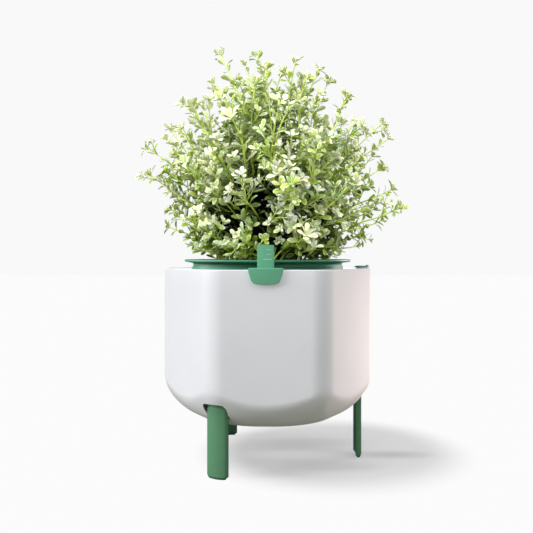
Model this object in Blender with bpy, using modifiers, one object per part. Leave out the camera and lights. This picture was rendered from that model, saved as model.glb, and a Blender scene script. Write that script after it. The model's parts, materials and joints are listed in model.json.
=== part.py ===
"""Self watering planter: a white six-sided bowl on three push-in legs, a round green inner pot with its
wicking basket, a float gauge hooked over the front rim, a capped filling port in the right corner, and
a bushy plant in soil. Metres, +Z up. The origin is on the floor, on the bowl's axis. The front is -Y."""

import math

import bmesh
import bpy
from mathutils import Matrix, Vector

MM = 0.001
COS30 = math.cos(math.pi / 6)

# ---- shared dimensions, in millimetres as are all sizes below ------------------------------------
GAP = 0.3  # clearance between neighbouring pieces

# bowl
FLAT = 90.0  # centre to a flat side
CORNER_R = 24.0  # radius of a vertical corner
RIM_Z = 183.0
RIM_EASE = 0.8  # chamfer around the top of the rim
WALL = 3.0
TURN_Z = 80.0  # height where the side starts to turn under
TURN_R = 40.0  # radius of that turn
TURN_ANGLE = 1.13  # radians turned at that radius
TOE_R = 22.0  # radius of the rest of the turn, down to the flat base
ROUND_POWER = 1.1  # how fast the six sides become a circle under the bowl
CREASE_Z = 68.0  # height where the middle of a flat side starts to turn under
CREASE_R = 14.0  # radius of that tighter turn
CREASE_ANGLE = 0.49  # radians turned at that radius
LIFT = 10.0  # how much higher a side's lower edge is at the corners
LIFT_END = 46.0  # height where the lift has faded out
ARC_STEPS = 8  # facets on each vertical corner
SIDE_STEPS = 3  # and on each half of a flat side

# legs
LEG_ANGLES = {"front_left": -30.0, "right": 90.0, "back": 210.0}  # degrees from front, towards +X
LEG_APEX = 91.5  # axis of the bowl to the leg's outer face
LEG_CURVE = 19.0  # radius of the leg's outer face, in plan
LEG_CENTRE_Y = -(LEG_APEX - LEG_CURVE)  # centre of that radius, for a leg at the front
LEG_T = 2.8
LEG_HALF = 10.6  # half the width
LEG_TOP = 80.0
PAD_T = 1.2

# inner pot
POT_TOP = 191.3
POT_FLOOR = 94.0  # underside of the pot's floor
FLOOR_TOP = POT_FLOOR + 2.2
BASKET_R = 19.0
SHOULDER_Z = 178.0  # where the pot's tapering wall meets its upright band
BAND_TOP = 184.4


# ---- scene ---------------------------------------------------------------------------------------
for old in list(bpy.data.objects):
    bpy.data.objects.remove(old)

scene = bpy.context.scene
parts = bpy.data.collections.new("self_watering_planter")
helpers = bpy.data.collections.new("cutters")
scene.collection.children.link(parts)
scene.collection.children.link(helpers)


def material(name, colour, roughness, metallic=0.0):
    mat = bpy.data.materials.new(name)
    mat.use_nodes = True
    inputs = mat.node_tree.nodes["Principled BSDF"].inputs
    inputs["Base Color"].default_value = (*colour, 1.0)
    inputs["Roughness"].default_value = roughness
    inputs["Metallic"].default_value = metallic
    mat.diffuse_color = (*colour, 1.0)
    return mat


WHITE = material("bowl_white", colour=(0.80, 0.81, 0.83), roughness=0.42)
LEG_GREEN = material("leg_green", colour=(0.13, 0.32, 0.17), roughness=0.5)
POT_GREEN = material("pot_green", colour=(0.09, 0.33, 0.20), roughness=0.45)
GAUGE_GREEN = material("gauge_green", colour=(0.12, 0.39, 0.25), roughness=0.45)
PAD_BLACK = material("pad_rubber", colour=(0.03, 0.05, 0.04), roughness=0.8)
FLOAT_WHITE = material("float_foam", colour=(0.85, 0.85, 0.82), roughness=0.7)
STEEL = material("pin_steel", colour=(0.6, 0.6, 0.62), roughness=0.25, metallic=1.0)
SOIL = material("soil_brown", colour=(0.035, 0.022, 0.014), roughness=0.95)
FELT = material("mat_felt", colour=(0.32, 0.31, 0.29), roughness=0.95)
STEM = material("stem_green", colour=(0.22, 0.34, 0.06), roughness=0.6)
LEAF = material("leaf_green", colour=(0.42, 0.55, 0.25), roughness=0.6)


# ---- tools ---------------------------------------------------------------------------------------
def add(name, mesh, mat=None):
    """A piece of the planter or, without a material, a hidden helper for a boolean."""
    obj = bpy.data.objects.new(name, mesh)
    if mat is None:
        helpers.objects.link(obj)
        obj.hide_render = True
        obj.display_type = "WIRE"
    else:
        parts.objects.link(obj)
        if not mesh.materials:
            mesh.materials.append(mat)
    return obj


def mesh_of(name, body):
    """A mesh from a bmesh, its normals facing out."""
    bmesh.ops.recalc_face_normals(body, faces=body.faces)
    mesh = bpy.data.meshes.new(name)
    body.to_mesh(mesh)
    body.free()
    return mesh


def box(name, low, high, mat=None, bevel=0.0, segments=2):
    """A box between two corners, with its origin at its centre."""
    low, high = Vector(low) * MM, Vector(high) * MM
    body = bmesh.new()
    bmesh.ops.create_cube(body, size=1.0, matrix=Matrix.Diagonal((*(high - low), 1.0)))
    obj = add(name, mesh_of(name, body), mat)
    obj.location = (low + high) / 2
    if bevel:
        rounding = obj.modifiers.new("round", "BEVEL")
        rounding.width, rounding.segments = bevel * MM, segments
    return obj


def cylinder(name, radius, start, end, steps, mat=None):
    """A round bar from start to end."""
    start, end = Vector(start) * MM, Vector(end) * MM
    radius *= MM
    body = bmesh.new()
    bmesh.ops.create_cone(
        body,
        cap_ends=True,
        segments=steps,
        radius1=radius,
        radius2=radius,
        depth=(end - start).length,
    )
    obj = add(name, mesh_of(name, body), mat)
    obj.location = (start + end) / 2
    obj.rotation_mode = "QUATERNION"
    obj.rotation_quaternion = (end - start).to_track_quat("Z", "Y")
    return obj


def turned(name, profile, steps, mat):
    """A profile of (radius, height) turned about Z. It starts and ends on the axis, or is closed."""
    closed = profile[0][0] > 0 or profile[-1][0] > 0
    count = len(profile)
    edges = [(i, i + 1) for i in range(count - 1)] + ([(count - 1, 0)] if closed else [])
    mesh = bpy.data.meshes.new(name)
    mesh.from_pydata([(radius * MM, 0.0, z * MM) for radius, z in profile], edges, [])
    obj = add(name, mesh, mat)
    screw = obj.modifiers.new("turn", "SCREW")
    screw.axis = "Z"
    screw.angle = 2 * math.pi
    screw.steps = screw.render_steps = steps
    screw.use_merge_vertices = True
    screw.merge_threshold = 0.00001
    screw.use_smooth_shade = True
    return obj


FLAT_DOWN = Matrix.Identity(4)
UPRIGHT = Matrix.Rotation(math.pi / 2, 4, "X")  # outline x, y -> X, Z; thickness -> -Y


def plate(name, outline, low, high, mat=None, stance=FLAT_DOWN):
    """A flat outline made thick from low to high along its own Z, by way of a filled 2D curve."""
    curve = bpy.data.curves.new(name, "CURVE")
    curve.dimensions = "2D"
    curve.fill_mode = "BOTH"
    curve.extrude = (high - low) / 2 * MM
    spline = curve.splines.new("POLY")
    spline.points.add(len(outline) - 1)
    for point, (x, y) in zip(spline.points, outline):
        point.co = (x * MM, y * MM, 0.0, 1.0)
    spline.use_cyclic_u = True
    temporary = bpy.data.objects.new(name + "_outline", curve)
    helpers.objects.link(temporary)
    temporary.matrix_world = stance @ Matrix.Translation((0, 0, (low + high) / 2 * MM))
    bpy.context.view_layer.update()
    graph = bpy.context.evaluated_depsgraph_get()
    mesh = bpy.data.meshes.new_from_object(temporary.evaluated_get(graph))
    mesh.transform(temporary.matrix_world)
    mesh.name = name
    mesh.materials.clear()
    # the curve's front, back and edge come unjoined
    body = bmesh.new()
    body.from_mesh(mesh)
    bmesh.ops.remove_doubles(body, verts=body.verts, dist=1e-6)
    bmesh.ops.recalc_face_normals(body, faces=body.faces)
    body.to_mesh(mesh)
    body.free()
    bpy.data.objects.remove(temporary)
    bpy.data.curves.remove(curve)
    return add(name, mesh, mat)


def combine(obj, other, how="DIFFERENCE"):
    boolean = obj.modifiers.new(how.lower() + "_" + other.name[:20], "BOOLEAN")
    boolean.operation = how
    boolean.solver = "EXACT"
    boolean.object = other


def axis_empty(name, x, y, z):
    empty = bpy.data.objects.new(name, None)
    empty.empty_display_size = 0.02
    empty.location = (x * MM, y * MM, z * MM)
    parts.objects.link(empty)
    bpy.context.view_layer.update()
    return empty


def carry(obj, empty):
    """Parent to an empty, staying in place."""
    obj.parent = empty
    obj.matrix_parent_inverse = empty.matrix_world.inverted()


def swing(obj, degrees):
    """Turn a piece and its place about the bowl's axis."""
    angle = math.radians(degrees)
    obj.location = Matrix.Rotation(angle, 3, "Z") @ obj.location
    obj.rotation_euler = (0, 0, angle)
    return obj


def mirrored(points):
    """The points on the other side of x = 0, in reverse order."""
    return [(-x, y) for x, y in reversed(points)]


# ---- shape of the bowl ---------------------------------------------------------------------------
def directions(ratio):
    """Angles of a section's points across one side, from its middle.
    The corner's radius is ratio of the distance to the side."""
    edge = math.atan((1 - ratio) * math.tan(math.pi / 6))
    arc_half = ARC_STEPS // 2
    half = [edge * k / SIDE_STEPS for k in range(SIDE_STEPS + 1)]
    half += [edge + (math.pi / 6 - edge) * k / arc_half for k in range(1, arc_half + 1)]
    return [-angle for angle in reversed(half[1:-1])] + half


def section(flat, ratio, z, lift, spread):
    """A six-sided outline: flat is its distance from the centre to a side, ratio its corner radius
    as a share of that. It stands lift higher at its corners than at the middles of its sides."""
    ratio = min(ratio, 0.999)
    corner_r = flat * ratio
    centre = (flat - corner_r) / COS30  # bowl's axis to the centre of a corner
    reach = centre + corner_r - flat  # how much further out a corner is than a side
    points = []
    for side in range(6):
        for angle in spread:
            off = abs(angle)
            if flat * math.tan(off) <= (flat - corner_r) * math.tan(math.pi / 6):
                radius = flat / math.cos(off)
            else:
                away = math.pi / 6 - off
                across = centre * math.sin(away)
                radius = centre * math.cos(away) + math.sqrt(corner_r * corner_r - across**2)
            turn = math.pi / 3 * side + angle
            rise = lift * min(1.0, max(0.0, (radius - flat) / reach))
            points.append((radius * math.sin(turn), -radius * math.cos(turn), z + rise))
    return points


def smooth(low, high, z):
    """An S-shaped ramp from 0 at low to 1 at high."""
    k = (z - low) / (high - low)
    k = min(1.0, max(0.0, k))
    return k * k * (3 - 2 * k)


def levels(inset, turn_steps, toe_steps):
    """(flat, ratio, z, lift) down the side of the bowl, offset inwards by inset. The corners turn
    under early and gently; the flat sides run further down and turn more tightly, and end below in
    an arc that climbs towards the corners."""
    flat = FLAT - inset
    turn_r, toe_r, crease_r = TURN_R - inset, TOE_R - inset, CREASE_R - inset
    crease_end = CREASE_Z - crease_r * math.sin(CREASE_ANGLE)
    turn_end = TURN_Z - turn_r * math.sin(TURN_ANGLE)
    turn_flat = flat - turn_r * (1 - math.cos(TURN_ANGLE))
    base = turn_flat - toe_r * math.cos(TURN_ANGLE)
    base_z = turn_end - toe_r * (1 - math.sin(TURN_ANGLE))
    start_ratio = (CORNER_R - inset) / flat

    def under(z):
        """The gentle turn that the corners follow."""
        if z >= TURN_Z:
            return flat
        if z >= turn_end:
            return flat - turn_r + math.sqrt(turn_r * turn_r - (TURN_Z - z) ** 2)
        sine = math.sin(TURN_ANGLE) + (turn_end - z) / toe_r
        return base + toe_r * math.sqrt(max(0.0, 1 - sine**2))

    heights = [TURN_Z, 74.0, CREASE_Z]
    heights += [CREASE_Z - crease_r * math.sin(CREASE_ANGLE * k / 3) for k in (1, 2, 3)]
    first = math.asin((TURN_Z - crease_end) / turn_r)
    for k in range(1, turn_steps + 1):
        angle = first + (TURN_ANGLE - first) * k / turn_steps
        heights.append(TURN_Z - turn_r * math.sin(angle))
    for k in range(1, toe_steps + 1):
        angle = TURN_ANGLE + (math.pi / 2 - TURN_ANGLE) * k / toe_steps
        heights.append(turn_end - toe_r * (math.sin(angle) - math.sin(TURN_ANGLE)))

    # how far a flat side stands out beyond the gentle turn where its crease ends
    bulge = FLAT - CREASE_R + crease_r * math.cos(CREASE_ANGLE) - under(crease_end)
    rows = []
    for z in heights:
        lift = LIFT * smooth(LIFT_END, crease_end, z)
        lifted = under(z + lift)
        shrink = max(0.0, (flat - lifted) / (flat - base))
        ratio = start_ratio + (1 - start_ratio) * shrink**ROUND_POWER
        corner = lifted / COS30 - (1 / COS30 - 1) * lifted * ratio
        if z >= CREASE_Z:
            side = flat
        elif z >= crease_end:
            side = FLAT - CREASE_R + math.sqrt(crease_r**2 - (CREASE_Z - z) ** 2)
        else:
            side = under(z) + bulge * smooth(base_z, crease_end, z)
        side = min(side, corner)
        round_r = (side / COS30 - corner) / (1 / COS30 - 1)
        rows.append((side, min(max(round_r / side, 0.08), 0.999), z, lift))
    return rows


def loft(name, rows, mat=None):
    """A closed body through the bowl's sections, flat at its two ends."""
    body = bmesh.new()
    spread = directions(rows[1][1])
    rings = []
    for row in rows:
        rings.append([body.verts.new(Vector(point) * MM) for point in section(*row, spread)])
    count = len(rings[0])
    for upper, lower in zip(rings, rings[1:]):
        for i in range(count):
            after = (i + 1) % count
            body.faces.new((upper[i], upper[after], lower[after], lower[i]))
    body.faces.new(rings[0])
    body.faces.new(list(reversed(rings[-1])))
    return add(name, mesh_of(name, body), mat)


# ---- bowl and its cavity -------------------------------------------------------------------------
rim_top = FLAT - RIM_EASE
bowl_rows = [
    (rim_top, (CORNER_R - RIM_EASE) / rim_top, RIM_Z, 0.0),
    (FLAT, CORNER_R / FLAT, RIM_Z - RIM_EASE, 0.0),
] + levels(inset=0.0, turn_steps=7, toe_steps=4)
bowl = loft("outer_bowl", bowl_rows, WHITE)

inner_flat = FLAT - WALL
inner_levels = levels(inset=WALL, turn_steps=6, toe_steps=3)
FLOOR_Z = inner_levels[-1][2]  # inside floor of the bowl
cavity_top = (inner_flat, (CORNER_R - WALL) / inner_flat, RIM_Z + 10, 0.0)
cavity = loft("bowl_cavity_cutter", [cavity_top] + inner_levels)

# ---- leg bosses and pockets in the bowl ----------------------------------------------------------
BOSS_TOP = 85.5
BOSS_IN = 81.4  # axis of the bowl to the boss's inner face
BOSS_HALF = 13.8
POCKET_GAP = 0.8  # room around the leg
POCKET_TOP = 82.5
POCKET_CUT_FOOT = 20.0  # the cutters start below the bowl
MOUTH_OUT = 4.6  # extra room in front of the leg in the mouth of its pocket
MOUTH_TOP = 70.0
MOUTH_CUT_FOOT = 20.3
MOUTH_INNER_Y = -88.3


def plan_arc(centre_y, radius, span, steps):
    """Points from -span to span around (0, centre_y), measured from the front."""
    angles = [span * (-1 + 2 * i / steps) for i in range(steps + 1)]
    return [(radius * math.sin(a), centre_y - radius * math.cos(a)) for a in angles]


def arc_edge(centre_y, radius, half):
    """The y of such an arc at half to the side."""
    return centre_y - radius * math.cos(math.asin(half / radius))


def leg_outline(grow):
    """Plan of a leg at the front: an arc plate with eased corners, grown by grow on every side."""
    outer_r, inner_r = LEG_CURVE + grow, LEG_CURVE - LEG_T - grow
    half = LEG_HALF + grow
    arc_half = half - 1.1
    outer_arc = plan_arc(LEG_CENTRE_Y, outer_r, math.asin(arc_half / outer_r), 8)
    inner_arc = plan_arc(LEG_CENTRE_Y, inner_r, -math.asin(arc_half / inner_r), 6)
    outer_y = arc_edge(LEG_CENTRE_Y, outer_r, half)
    inner_y = arc_edge(LEG_CENTRE_Y, inner_r, half)
    right = [
        (half - 0.3, outer_y + 0.25),
        (half, outer_y + 1.1),
        (half, inner_y - 1.1),
        (half - 0.3, inner_y - 0.25),
    ]
    return outer_arc + right + inner_arc + mirrored(right)


def mouth_outline():
    """Plan of a pocket's mouth, which stands further out in front of the leg than the pocket."""
    centre_y = LEG_CENTRE_Y - MOUTH_OUT
    radius, half = LEG_CURVE + POCKET_GAP, LEG_HALF + POCKET_GAP + 0.5
    arc = plan_arc(centre_y, radius, math.asin((half - 1.4) / radius), 8)
    edge_y = arc_edge(centre_y, radius, half)
    right = [(half - 0.4, edge_y + 0.3), (half, edge_y + 1.3), (half, MOUTH_INNER_Y)]
    return arc + right + mirrored(right)


# each boss takes a bite out of the cavity cutter, so its block stays solid in the bowl
for place, angle in LEG_ANGLES.items():
    boss = box(
        "boss_" + place,
        (-BOSS_HALF, -FLAT - 30, FLOOR_Z - 12),
        (BOSS_HALF, -BOSS_IN, BOSS_TOP),
        bevel=2.0,
    )
    combine(cavity, swing(boss, angle))
combine(bowl, cavity)
for place, angle in LEG_ANGLES.items():
    pocket = plate("pocket_" + place, leg_outline(POCKET_GAP), POCKET_CUT_FOOT, POCKET_TOP)
    combine(bowl, swing(pocket, angle))
    mouth = plate("pocket_mouth_" + place, mouth_outline(), MOUTH_CUT_FOOT, MOUTH_TOP)
    combine(bowl, swing(mouth, angle))

# ---- legs and foot pads --------------------------------------------------------------------------
LEAD_INSET, LEAD_RISE = 0.8, 1.0  # lead-in at the top of the leg, where it goes up its pocket
PAD_INSET = 0.5


def add_lead_in(mesh):
    body = bmesh.new()
    body.from_mesh(mesh)
    top = [face for face in body.faces if face.normal.z > 0.9]
    bmesh.ops.inset_region(body, faces=top, thickness=LEAD_INSET * MM, depth=0.0)
    for vert in {vert for face in top for vert in face.verts}:
        vert.co.z += LEAD_RISE * MM
    body.to_mesh(mesh)
    body.free()


# the three legs share one mesh, and so do the pads
leg_mesh = pad_mesh = None
for place, angle in LEG_ANGLES.items():
    leg_name, pad_name = "leg_" + place, "foot_pad_" + place
    if leg_mesh is None:
        leg = plate(leg_name, leg_outline(0.0), PAD_T + GAP, LEG_TOP, LEG_GREEN)
        pad = plate(pad_name, leg_outline(-PAD_INSET), 0.0, PAD_T, PAD_BLACK)
        leg_mesh, pad_mesh = leg.data, pad.data
        add_lead_in(leg_mesh)
    else:
        leg = add(leg_name, leg_mesh, LEG_GREEN)
        pad = add(pad_name, pad_mesh, PAD_BLACK)
    swing(leg, angle)
    swing(pad, angle)

# ---- riser ring that carries the pot -------------------------------------------------------------
RISER_TOP = POT_FLOOR - GAP
RISER_FOOT = FLOOR_Z + GAP
RISER_PROFILE = [  # radius, height
    (50.2, RISER_TOP), (58.0, RISER_TOP), (58.0, RISER_TOP - 1.8), (54.2, RISER_TOP - 2.0),
    (54.2, RISER_FOOT), (52.0, RISER_FOOT), (52.0, RISER_TOP - 2.0), (50.2, RISER_TOP - 2.0),
]
riser = turned("riser_ring", RISER_PROFILE, 40, POT_GREEN)
for k in range(3):
    window = box(
        "riser_window_%d" % k, (-11, -70, FLOOR_Z + 4), (11, 70, RISER_TOP - 8), bevel=4.0
    )
    combine(riser, swing(window, 60 * k + 30))

# ---- inner pot -----------------------------------------------------------------------------------
FLANGE_R = 80.6
COLLAR_R = 72.4
BAND_R = 73.5  # outside of the upright band below the collar
BORE_R = 70.4  # inside of the pot's mouth
POT_WALL = 2.1
POT_HOLE_R = BASKET_R + 0.4
DRAIN_COUNT, DRAIN_R, DRAIN_RING_R = 8, 3.0, 44

POT_PROFILE = [  # radius, height
    # rim flange
    (BORE_R, POT_TOP - 0.4), (70.8, POT_TOP), (79.9, POT_TOP), (80.4, POT_TOP - 0.25),
    (FLANGE_R, POT_TOP - 0.8), (FLANGE_R, POT_TOP - 1.3), (80.4, POT_TOP - 1.75),
    (79.8, POT_TOP - 2.05), (73.4, POT_TOP - 3.3),
    # collar, band and outer wall
    (COLLAR_R, POT_TOP - 4.2), (COLLAR_R, BAND_TOP + 0.5), (BAND_R, BAND_TOP),
    (BAND_R, SHOULDER_Z), (66.4, POT_FLOOR + 3.0), (65.4, POT_FLOOR + 0.8),
    # floor, with the basket's hole
    (63.8, POT_FLOOR), (POT_HOLE_R, POT_FLOOR), (POT_HOLE_R, FLOOR_TOP),
    # inner wall
    (62.9, FLOOR_TOP), (64.3, FLOOR_TOP + 1.4), (BAND_R - POT_WALL, SHOULDER_Z),
    (BORE_R, BAND_TOP),
]
pot = turned("inner_pot", POT_PROFILE, 56, POT_GREEN)
for k in range(DRAIN_COUNT):
    angle = math.radians(360 / DRAIN_COUNT * (k + 0.5))
    x, y = DRAIN_RING_R * math.sin(angle), -DRAIN_RING_R * math.cos(angle)
    low, high = (x, y, POT_FLOOR - 6), (x, y, FLOOR_TOP + 6)
    combine(pot, cylinder("drain_hole_%d" % k, DRAIN_R, low, high, 10))

# ---- wicking basket, hung in the hole of the pot's floor -----------------------------------------
BASKET_PROFILE = [  # radius, height
    (17.3, FLOOR_TOP + 1.8), (25.0, FLOOR_TOP + 1.8), (25.0, FLOOR_TOP + GAP),
    (BASKET_R, FLOOR_TOP + GAP), (BASKET_R - 1.0, FLOOR_Z + 4.0), (BASKET_R - 2.5, FLOOR_Z + 1.8),
    (0.0, FLOOR_Z + 1.8), (0.0, FLOOR_Z + 3.6), (14.6, FLOOR_Z + 3.6), (16.2, FLOOR_Z + 5.0),
]
basket = turned("wicking_basket", BASKET_PROFILE, 32, POT_GREEN)
for k in range(4):
    slot = box("basket_slot_%d" % k, (-1.5, -30, FLOOR_Z + 7), (1.5, 30, POT_FLOOR - 6))
    combine(basket, swing(slot, 45 * k + 22.5))

# ---- capillary mat on the pot's floor ------------------------------------------------------------
MAT_TOP = FLOOR_TOP + 2.3
MAT_PROFILE = [  # radius, height
    (25.6, MAT_TOP), (61.6, MAT_TOP), (61.9, FLOOR_TOP + 1.4),
    (61.6, FLOOR_TOP + GAP), (25.6, FLOOR_TOP + GAP),
]
felt_mat = turned("capillary_mat", MAT_PROFILE, 40, FELT)

# ---- soil, filling the pot and the basket --------------------------------------------------------
SOIL_TOP = 187.2
SOIL_FOOT = MAT_TOP + GAP
SOIL_PROFILE = [  # radius, height
    (0.0, SOIL_TOP), (25.0, SOIL_TOP - 0.4), (52.0, SOIL_TOP - 1.4), (69.4, SOIL_TOP - 3.2),
    (70.8, SHOULDER_Z), (63.7, FLOOR_TOP + 4.0), (62.4, SOIL_FOOT), (16.8, SOIL_FOOT),
    (15.7, FLOOR_Z + 6.2), (14.2, FLOOR_Z + 4.0), (0.0, FLOOR_Z + 4.0),
]
soil = turned("soil", SOIL_PROFILE, 48, SOIL)

# ---- plant ---------------------------------------------------------------------------------------
PLANT_TOP = 396.0
PLANT_R = 125.0
CROWN_FOOT = 191.6
LEAF_SKIN = 2.6
CROWN_MOUTH_R = 31.0

STEM_PROFILE = [  # radius, height
    (0.0, 316.0), (6.0, 312.0), (14.0, 272.0), (21.0, 236.0), (24.0, 212.0), (21.0, 200.0),
    (17.0, 192.0), (16.0, SOIL_TOP + GAP), (0.0, SOIL_TOP + GAP),
]
stems = turned("plant_stems", STEM_PROFILE, 20, STEM)

# the crown of leaves is a bell: its skin holds about the mass of the leaves, and the stems go up
# its mouth
CROWN = [  # radius, height
    (0.0, PLANT_TOP), (22.0, 392.0), (50.0, 378.0), (78.0, 358.0), (102.0, 332.0), (118.0, 304.0),
    (PLANT_R, 276.0), (122.0, 250.0), (110.0, 232.0), (92.0, 219.0), (78.0, 212.5), (70.0, 196.0),
    (66.0, CROWN_FOOT),
]


def inside(profile, skin):
    """The profile moved inwards by skin, from its lower end back up to the axis."""
    points = []
    for i, (radius, z) in enumerate(profile):
        before, after = profile[max(i - 1, 0)], profile[min(i + 1, len(profile) - 1)]
        run, rise = after[0] - before[0], after[1] - before[1]
        length = math.hypot(run, rise)
        points.append((max(radius + rise / length * skin, 0.0), z - run / length * skin))
    points[0] = (0.0, profile[0][1] - skin)
    return list(reversed(points))


crown_lip = [
    (CROWN_MOUTH_R, CROWN_FOOT),
    (CROWN_MOUTH_R, CROWN_FOOT + LEAF_SKIN),
    (64.2, CROWN_FOOT + LEAF_SKIN),
]
foliage = turned("plant_foliage", CROWN + crown_lip + inside(CROWN[:-1], LEAF_SKIN), 32, LEAF)

# everything that lifts out with the pot
pot_axis = axis_empty("pot_lift_axis", 0, 0, POT_FLOOR)
for obj in (pot, basket, felt_mat, soil, stems, foliage):
    carry(obj, pot_axis)

# ---- water gauge on the front rim ----------------------------------------------------------------
GAUGE_X = -1.2  # the gauge sits a little to the left of the middle of the front side
CLIP_HALF = 15.05
CLIP_TOP = 184.5
CHANNEL_HALF = 10.0
CHANNEL_FRONT, CHANNEL_BACK = -86.7, -82.7
CHANNEL_FOOT = 112.0
COVER_T = 1.2
COVER_WINDOW_Z, COVER_WINDOW_PITCH, COVER_WINDOW_H = 118.0, 20.0, 13
STICK_HALF = 7.35
STICK_T = 1.8
STICK_BACK = -83.0
STICK_FRONT = STICK_BACK - STICK_T
STICK_TOP = 204.3
STICK_FOOT = 87.0
STICK_SLACK = 0.4  # room around the stick in its groove
LEDGE_TOP = STICK_FOOT + 1.6
FLOAT_FOOT = LEDGE_TOP + GAP
FLOAT_H = 13.0
PIN_Z = 95.5
PIN_R, PIN_HOLE_R = 1.2, 1.5

# right half of the tab in front of the rim: x from the gauge's middle, height
TAB_HALF = [
    (CLIP_HALF, CLIP_TOP), (14.75, 181.6), (13.95, 178.0), (12.9, 175.2), (11.6, 173.2),
    (9.9, 171.8), (7.8, 170.9), (4.6, 170.4), (1.6, 170.2),
]


def gauge_box(name, half, front, back, foot, top, *args, **options):
    """A box centred across the gauge, from front to back in y and foot to top in z."""
    low, high = (GAUGE_X - half, front, foot), (GAUGE_X + half, back, top)
    return box(name, low, high, *args, **options)


def gauge_bar(name, radius, front, back, mat=None):
    """A round bar along the gauge's pin."""
    return cylinder(name, radius, (GAUGE_X, front, PIN_Z), (GAUGE_X, back, PIN_Z), 16, mat)


# clip: tab, bridge over the rim, and channel inside the bowl
tab_outline = [(GAUGE_X + x, z) for x, z in TAB_HALF + mirrored(TAB_HALF)]
clip = plate("gauge_clip", tab_outline, 90.4, 92.6, GAUGE_GREEN, stance=UPRIGHT)
bridge = gauge_box("clip_bridge", CLIP_HALF, -92.5, -81.5, RIM_Z + GAP, CLIP_TOP)
channel = gauge_box(
    "clip_channel", CHANNEL_HALF, CHANNEL_FRONT, CHANNEL_BACK, CHANNEL_FOOT, RIM_Z + 0.8
)
groove_half, groove_foot = STICK_HALF + STICK_SLACK, CHANNEL_FOOT - 5
groove = gauge_box(
    "clip_groove",
    groove_half,
    STICK_FRONT - STICK_SLACK,
    STICK_BACK + STICK_SLACK,
    groove_foot,
    RIM_Z + 5,
)
back_groove = gauge_box(
    "clip_back_groove", groove_half, STICK_BACK - 0.5, -80.0, groove_foot, RIM_Z - 0.3
)
combine(clip, bridge, "UNION")
combine(clip, channel, "UNION")
combine(clip, groove)
combine(clip, back_groove)

# cover behind the channel
cover_front = CHANNEL_BACK + GAP
cover = gauge_box(
    "gauge_rear_cover",
    CHANNEL_HALF,
    cover_front,
    cover_front + COVER_T,
    CHANNEL_FOOT,
    RIM_Z - 0.1,
    GAUGE_GREEN,
)
for k in range(3):
    z = COVER_WINDOW_Z + COVER_WINDOW_PITCH * k
    window = gauge_box("cover_window_%d" % k, 3.0, -85, -79, z, z + COVER_WINDOW_H, bevel=1.2)
    combine(cover, window)

# sliding stick, with a ledge under the float
stick = gauge_box(
    "gauge_stick",
    STICK_HALF,
    STICK_FRONT,
    STICK_BACK,
    STICK_FOOT,
    STICK_TOP,
    GAUGE_GREEN,
    bevel=0.25,
    segments=1,
)
stick_middle = STICK_BACK - STICK_T / 2
ledge = gauge_box("stick_ledge", STICK_HALF, stick_middle, -73.0, STICK_FOOT + 0.3, LEDGE_TOP)
combine(stick, ledge, "UNION")
combine(stick, gauge_bar("stick_pin_hole", PIN_HOLE_R, -90, -80))

# float and its pin
float_block = gauge_box(
    "gauge_float",
    12.0,
    STICK_BACK + GAP,
    -72.0,
    FLOAT_FOOT,
    FLOAT_FOOT + FLOAT_H,
    FLOAT_WHITE,
    bevel=1.5,
)
combine(float_block, gauge_bar("float_pin_hole", PIN_HOLE_R, -86, -75.5))
float_pin = gauge_bar("gauge_float_pin", PIN_R, -84.9, -76.0, POT_GREEN)

gauge_axis = axis_empty("gauge_slide_axis", GAUGE_X, stick_middle, STICK_FOOT)
for obj in (stick, float_block, float_pin):
    carry(obj, gauge_axis)

# ---- filling port in the right corner ------------------------------------------------------------
PORT_X = 91.7
NECK_RX, NECK_RY = 4.5, 11.0
NECK_WALL = 1.1
HINGE_X = 97.3
HINGE_Z = 185.1
HINGE_HOLE_R = 0.5
KNUCKLE_R = 0.85
EAR_IN, EAR_OUT = 3.2, 5.0  # middle of the hinge to an ear's faces
SQUARED = 2.6  # oval power of the lip and cap; 2 is an ellipse, more is squarer
WEB_LOW, WEB_HIGH = 184.42, 184.94

# finger tab on the cap's inner edge, seen from the front: x, height
CAP_TAB = [
    (89.5, 184.94), (87.4, 184.94), (85.6, 184.4), (85.3, 183.6),
    (86.0, 183.5), (86.4, 183.95), (87.5, 184.38), (89.5, 184.38),
]


def oval(centre_x, radius_x, radius_y, power=2.0, steps=28):
    points = []
    for i in range(steps):
        angle = 2 * math.pi * i / steps
        cosine, sine = math.cos(angle), math.sin(angle)
        x = centre_x + radius_x * math.copysign(abs(cosine) ** (2 / power), cosine)
        y = radius_y * math.copysign(abs(sine) ** (2 / power), sine)
        points.append((x, y))
    return points


def hinge_bar(name, radius, half, steps, mat=None):
    """A round bar along the hinge, half its length to each side of the middle."""
    start, end = (HINGE_X, -half, HINGE_Z), (HINGE_X, half, HINGE_Z)
    return cylinder(name, radius, start, end, steps, mat)


# neck, with a lip on the rim and two ears for the hinge
neck = plate("filler_neck", oval(PORT_X, NECK_RX, NECK_RY), 105.0, RIM_Z + 0.6, WHITE)
lip = plate("neck_lip", oval(92.5, 5.7, 12.5, SQUARED), RIM_Z + GAP, 183.95)
bore = plate("neck_bore", oval(PORT_X, NECK_RX - NECK_WALL, NECK_RY - NECK_WALL), 90.0, 195.0)
combine(neck, lip, "UNION")
for k, (low, high) in enumerate(((-EAR_OUT, -EAR_IN), (EAR_IN, EAR_OUT))):
    ear = box(
        "neck_ear_%d" % k,
        (HINGE_X - KNUCKLE_R, low, 183.5),
        (HINGE_X + KNUCKLE_R, high, HINGE_Z + 0.8),
    )
    combine(neck, ear, "UNION")
combine(neck, bore)
combine(neck, hinge_bar("ear_hole", HINGE_HOLE_R, 8, 12))

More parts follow.
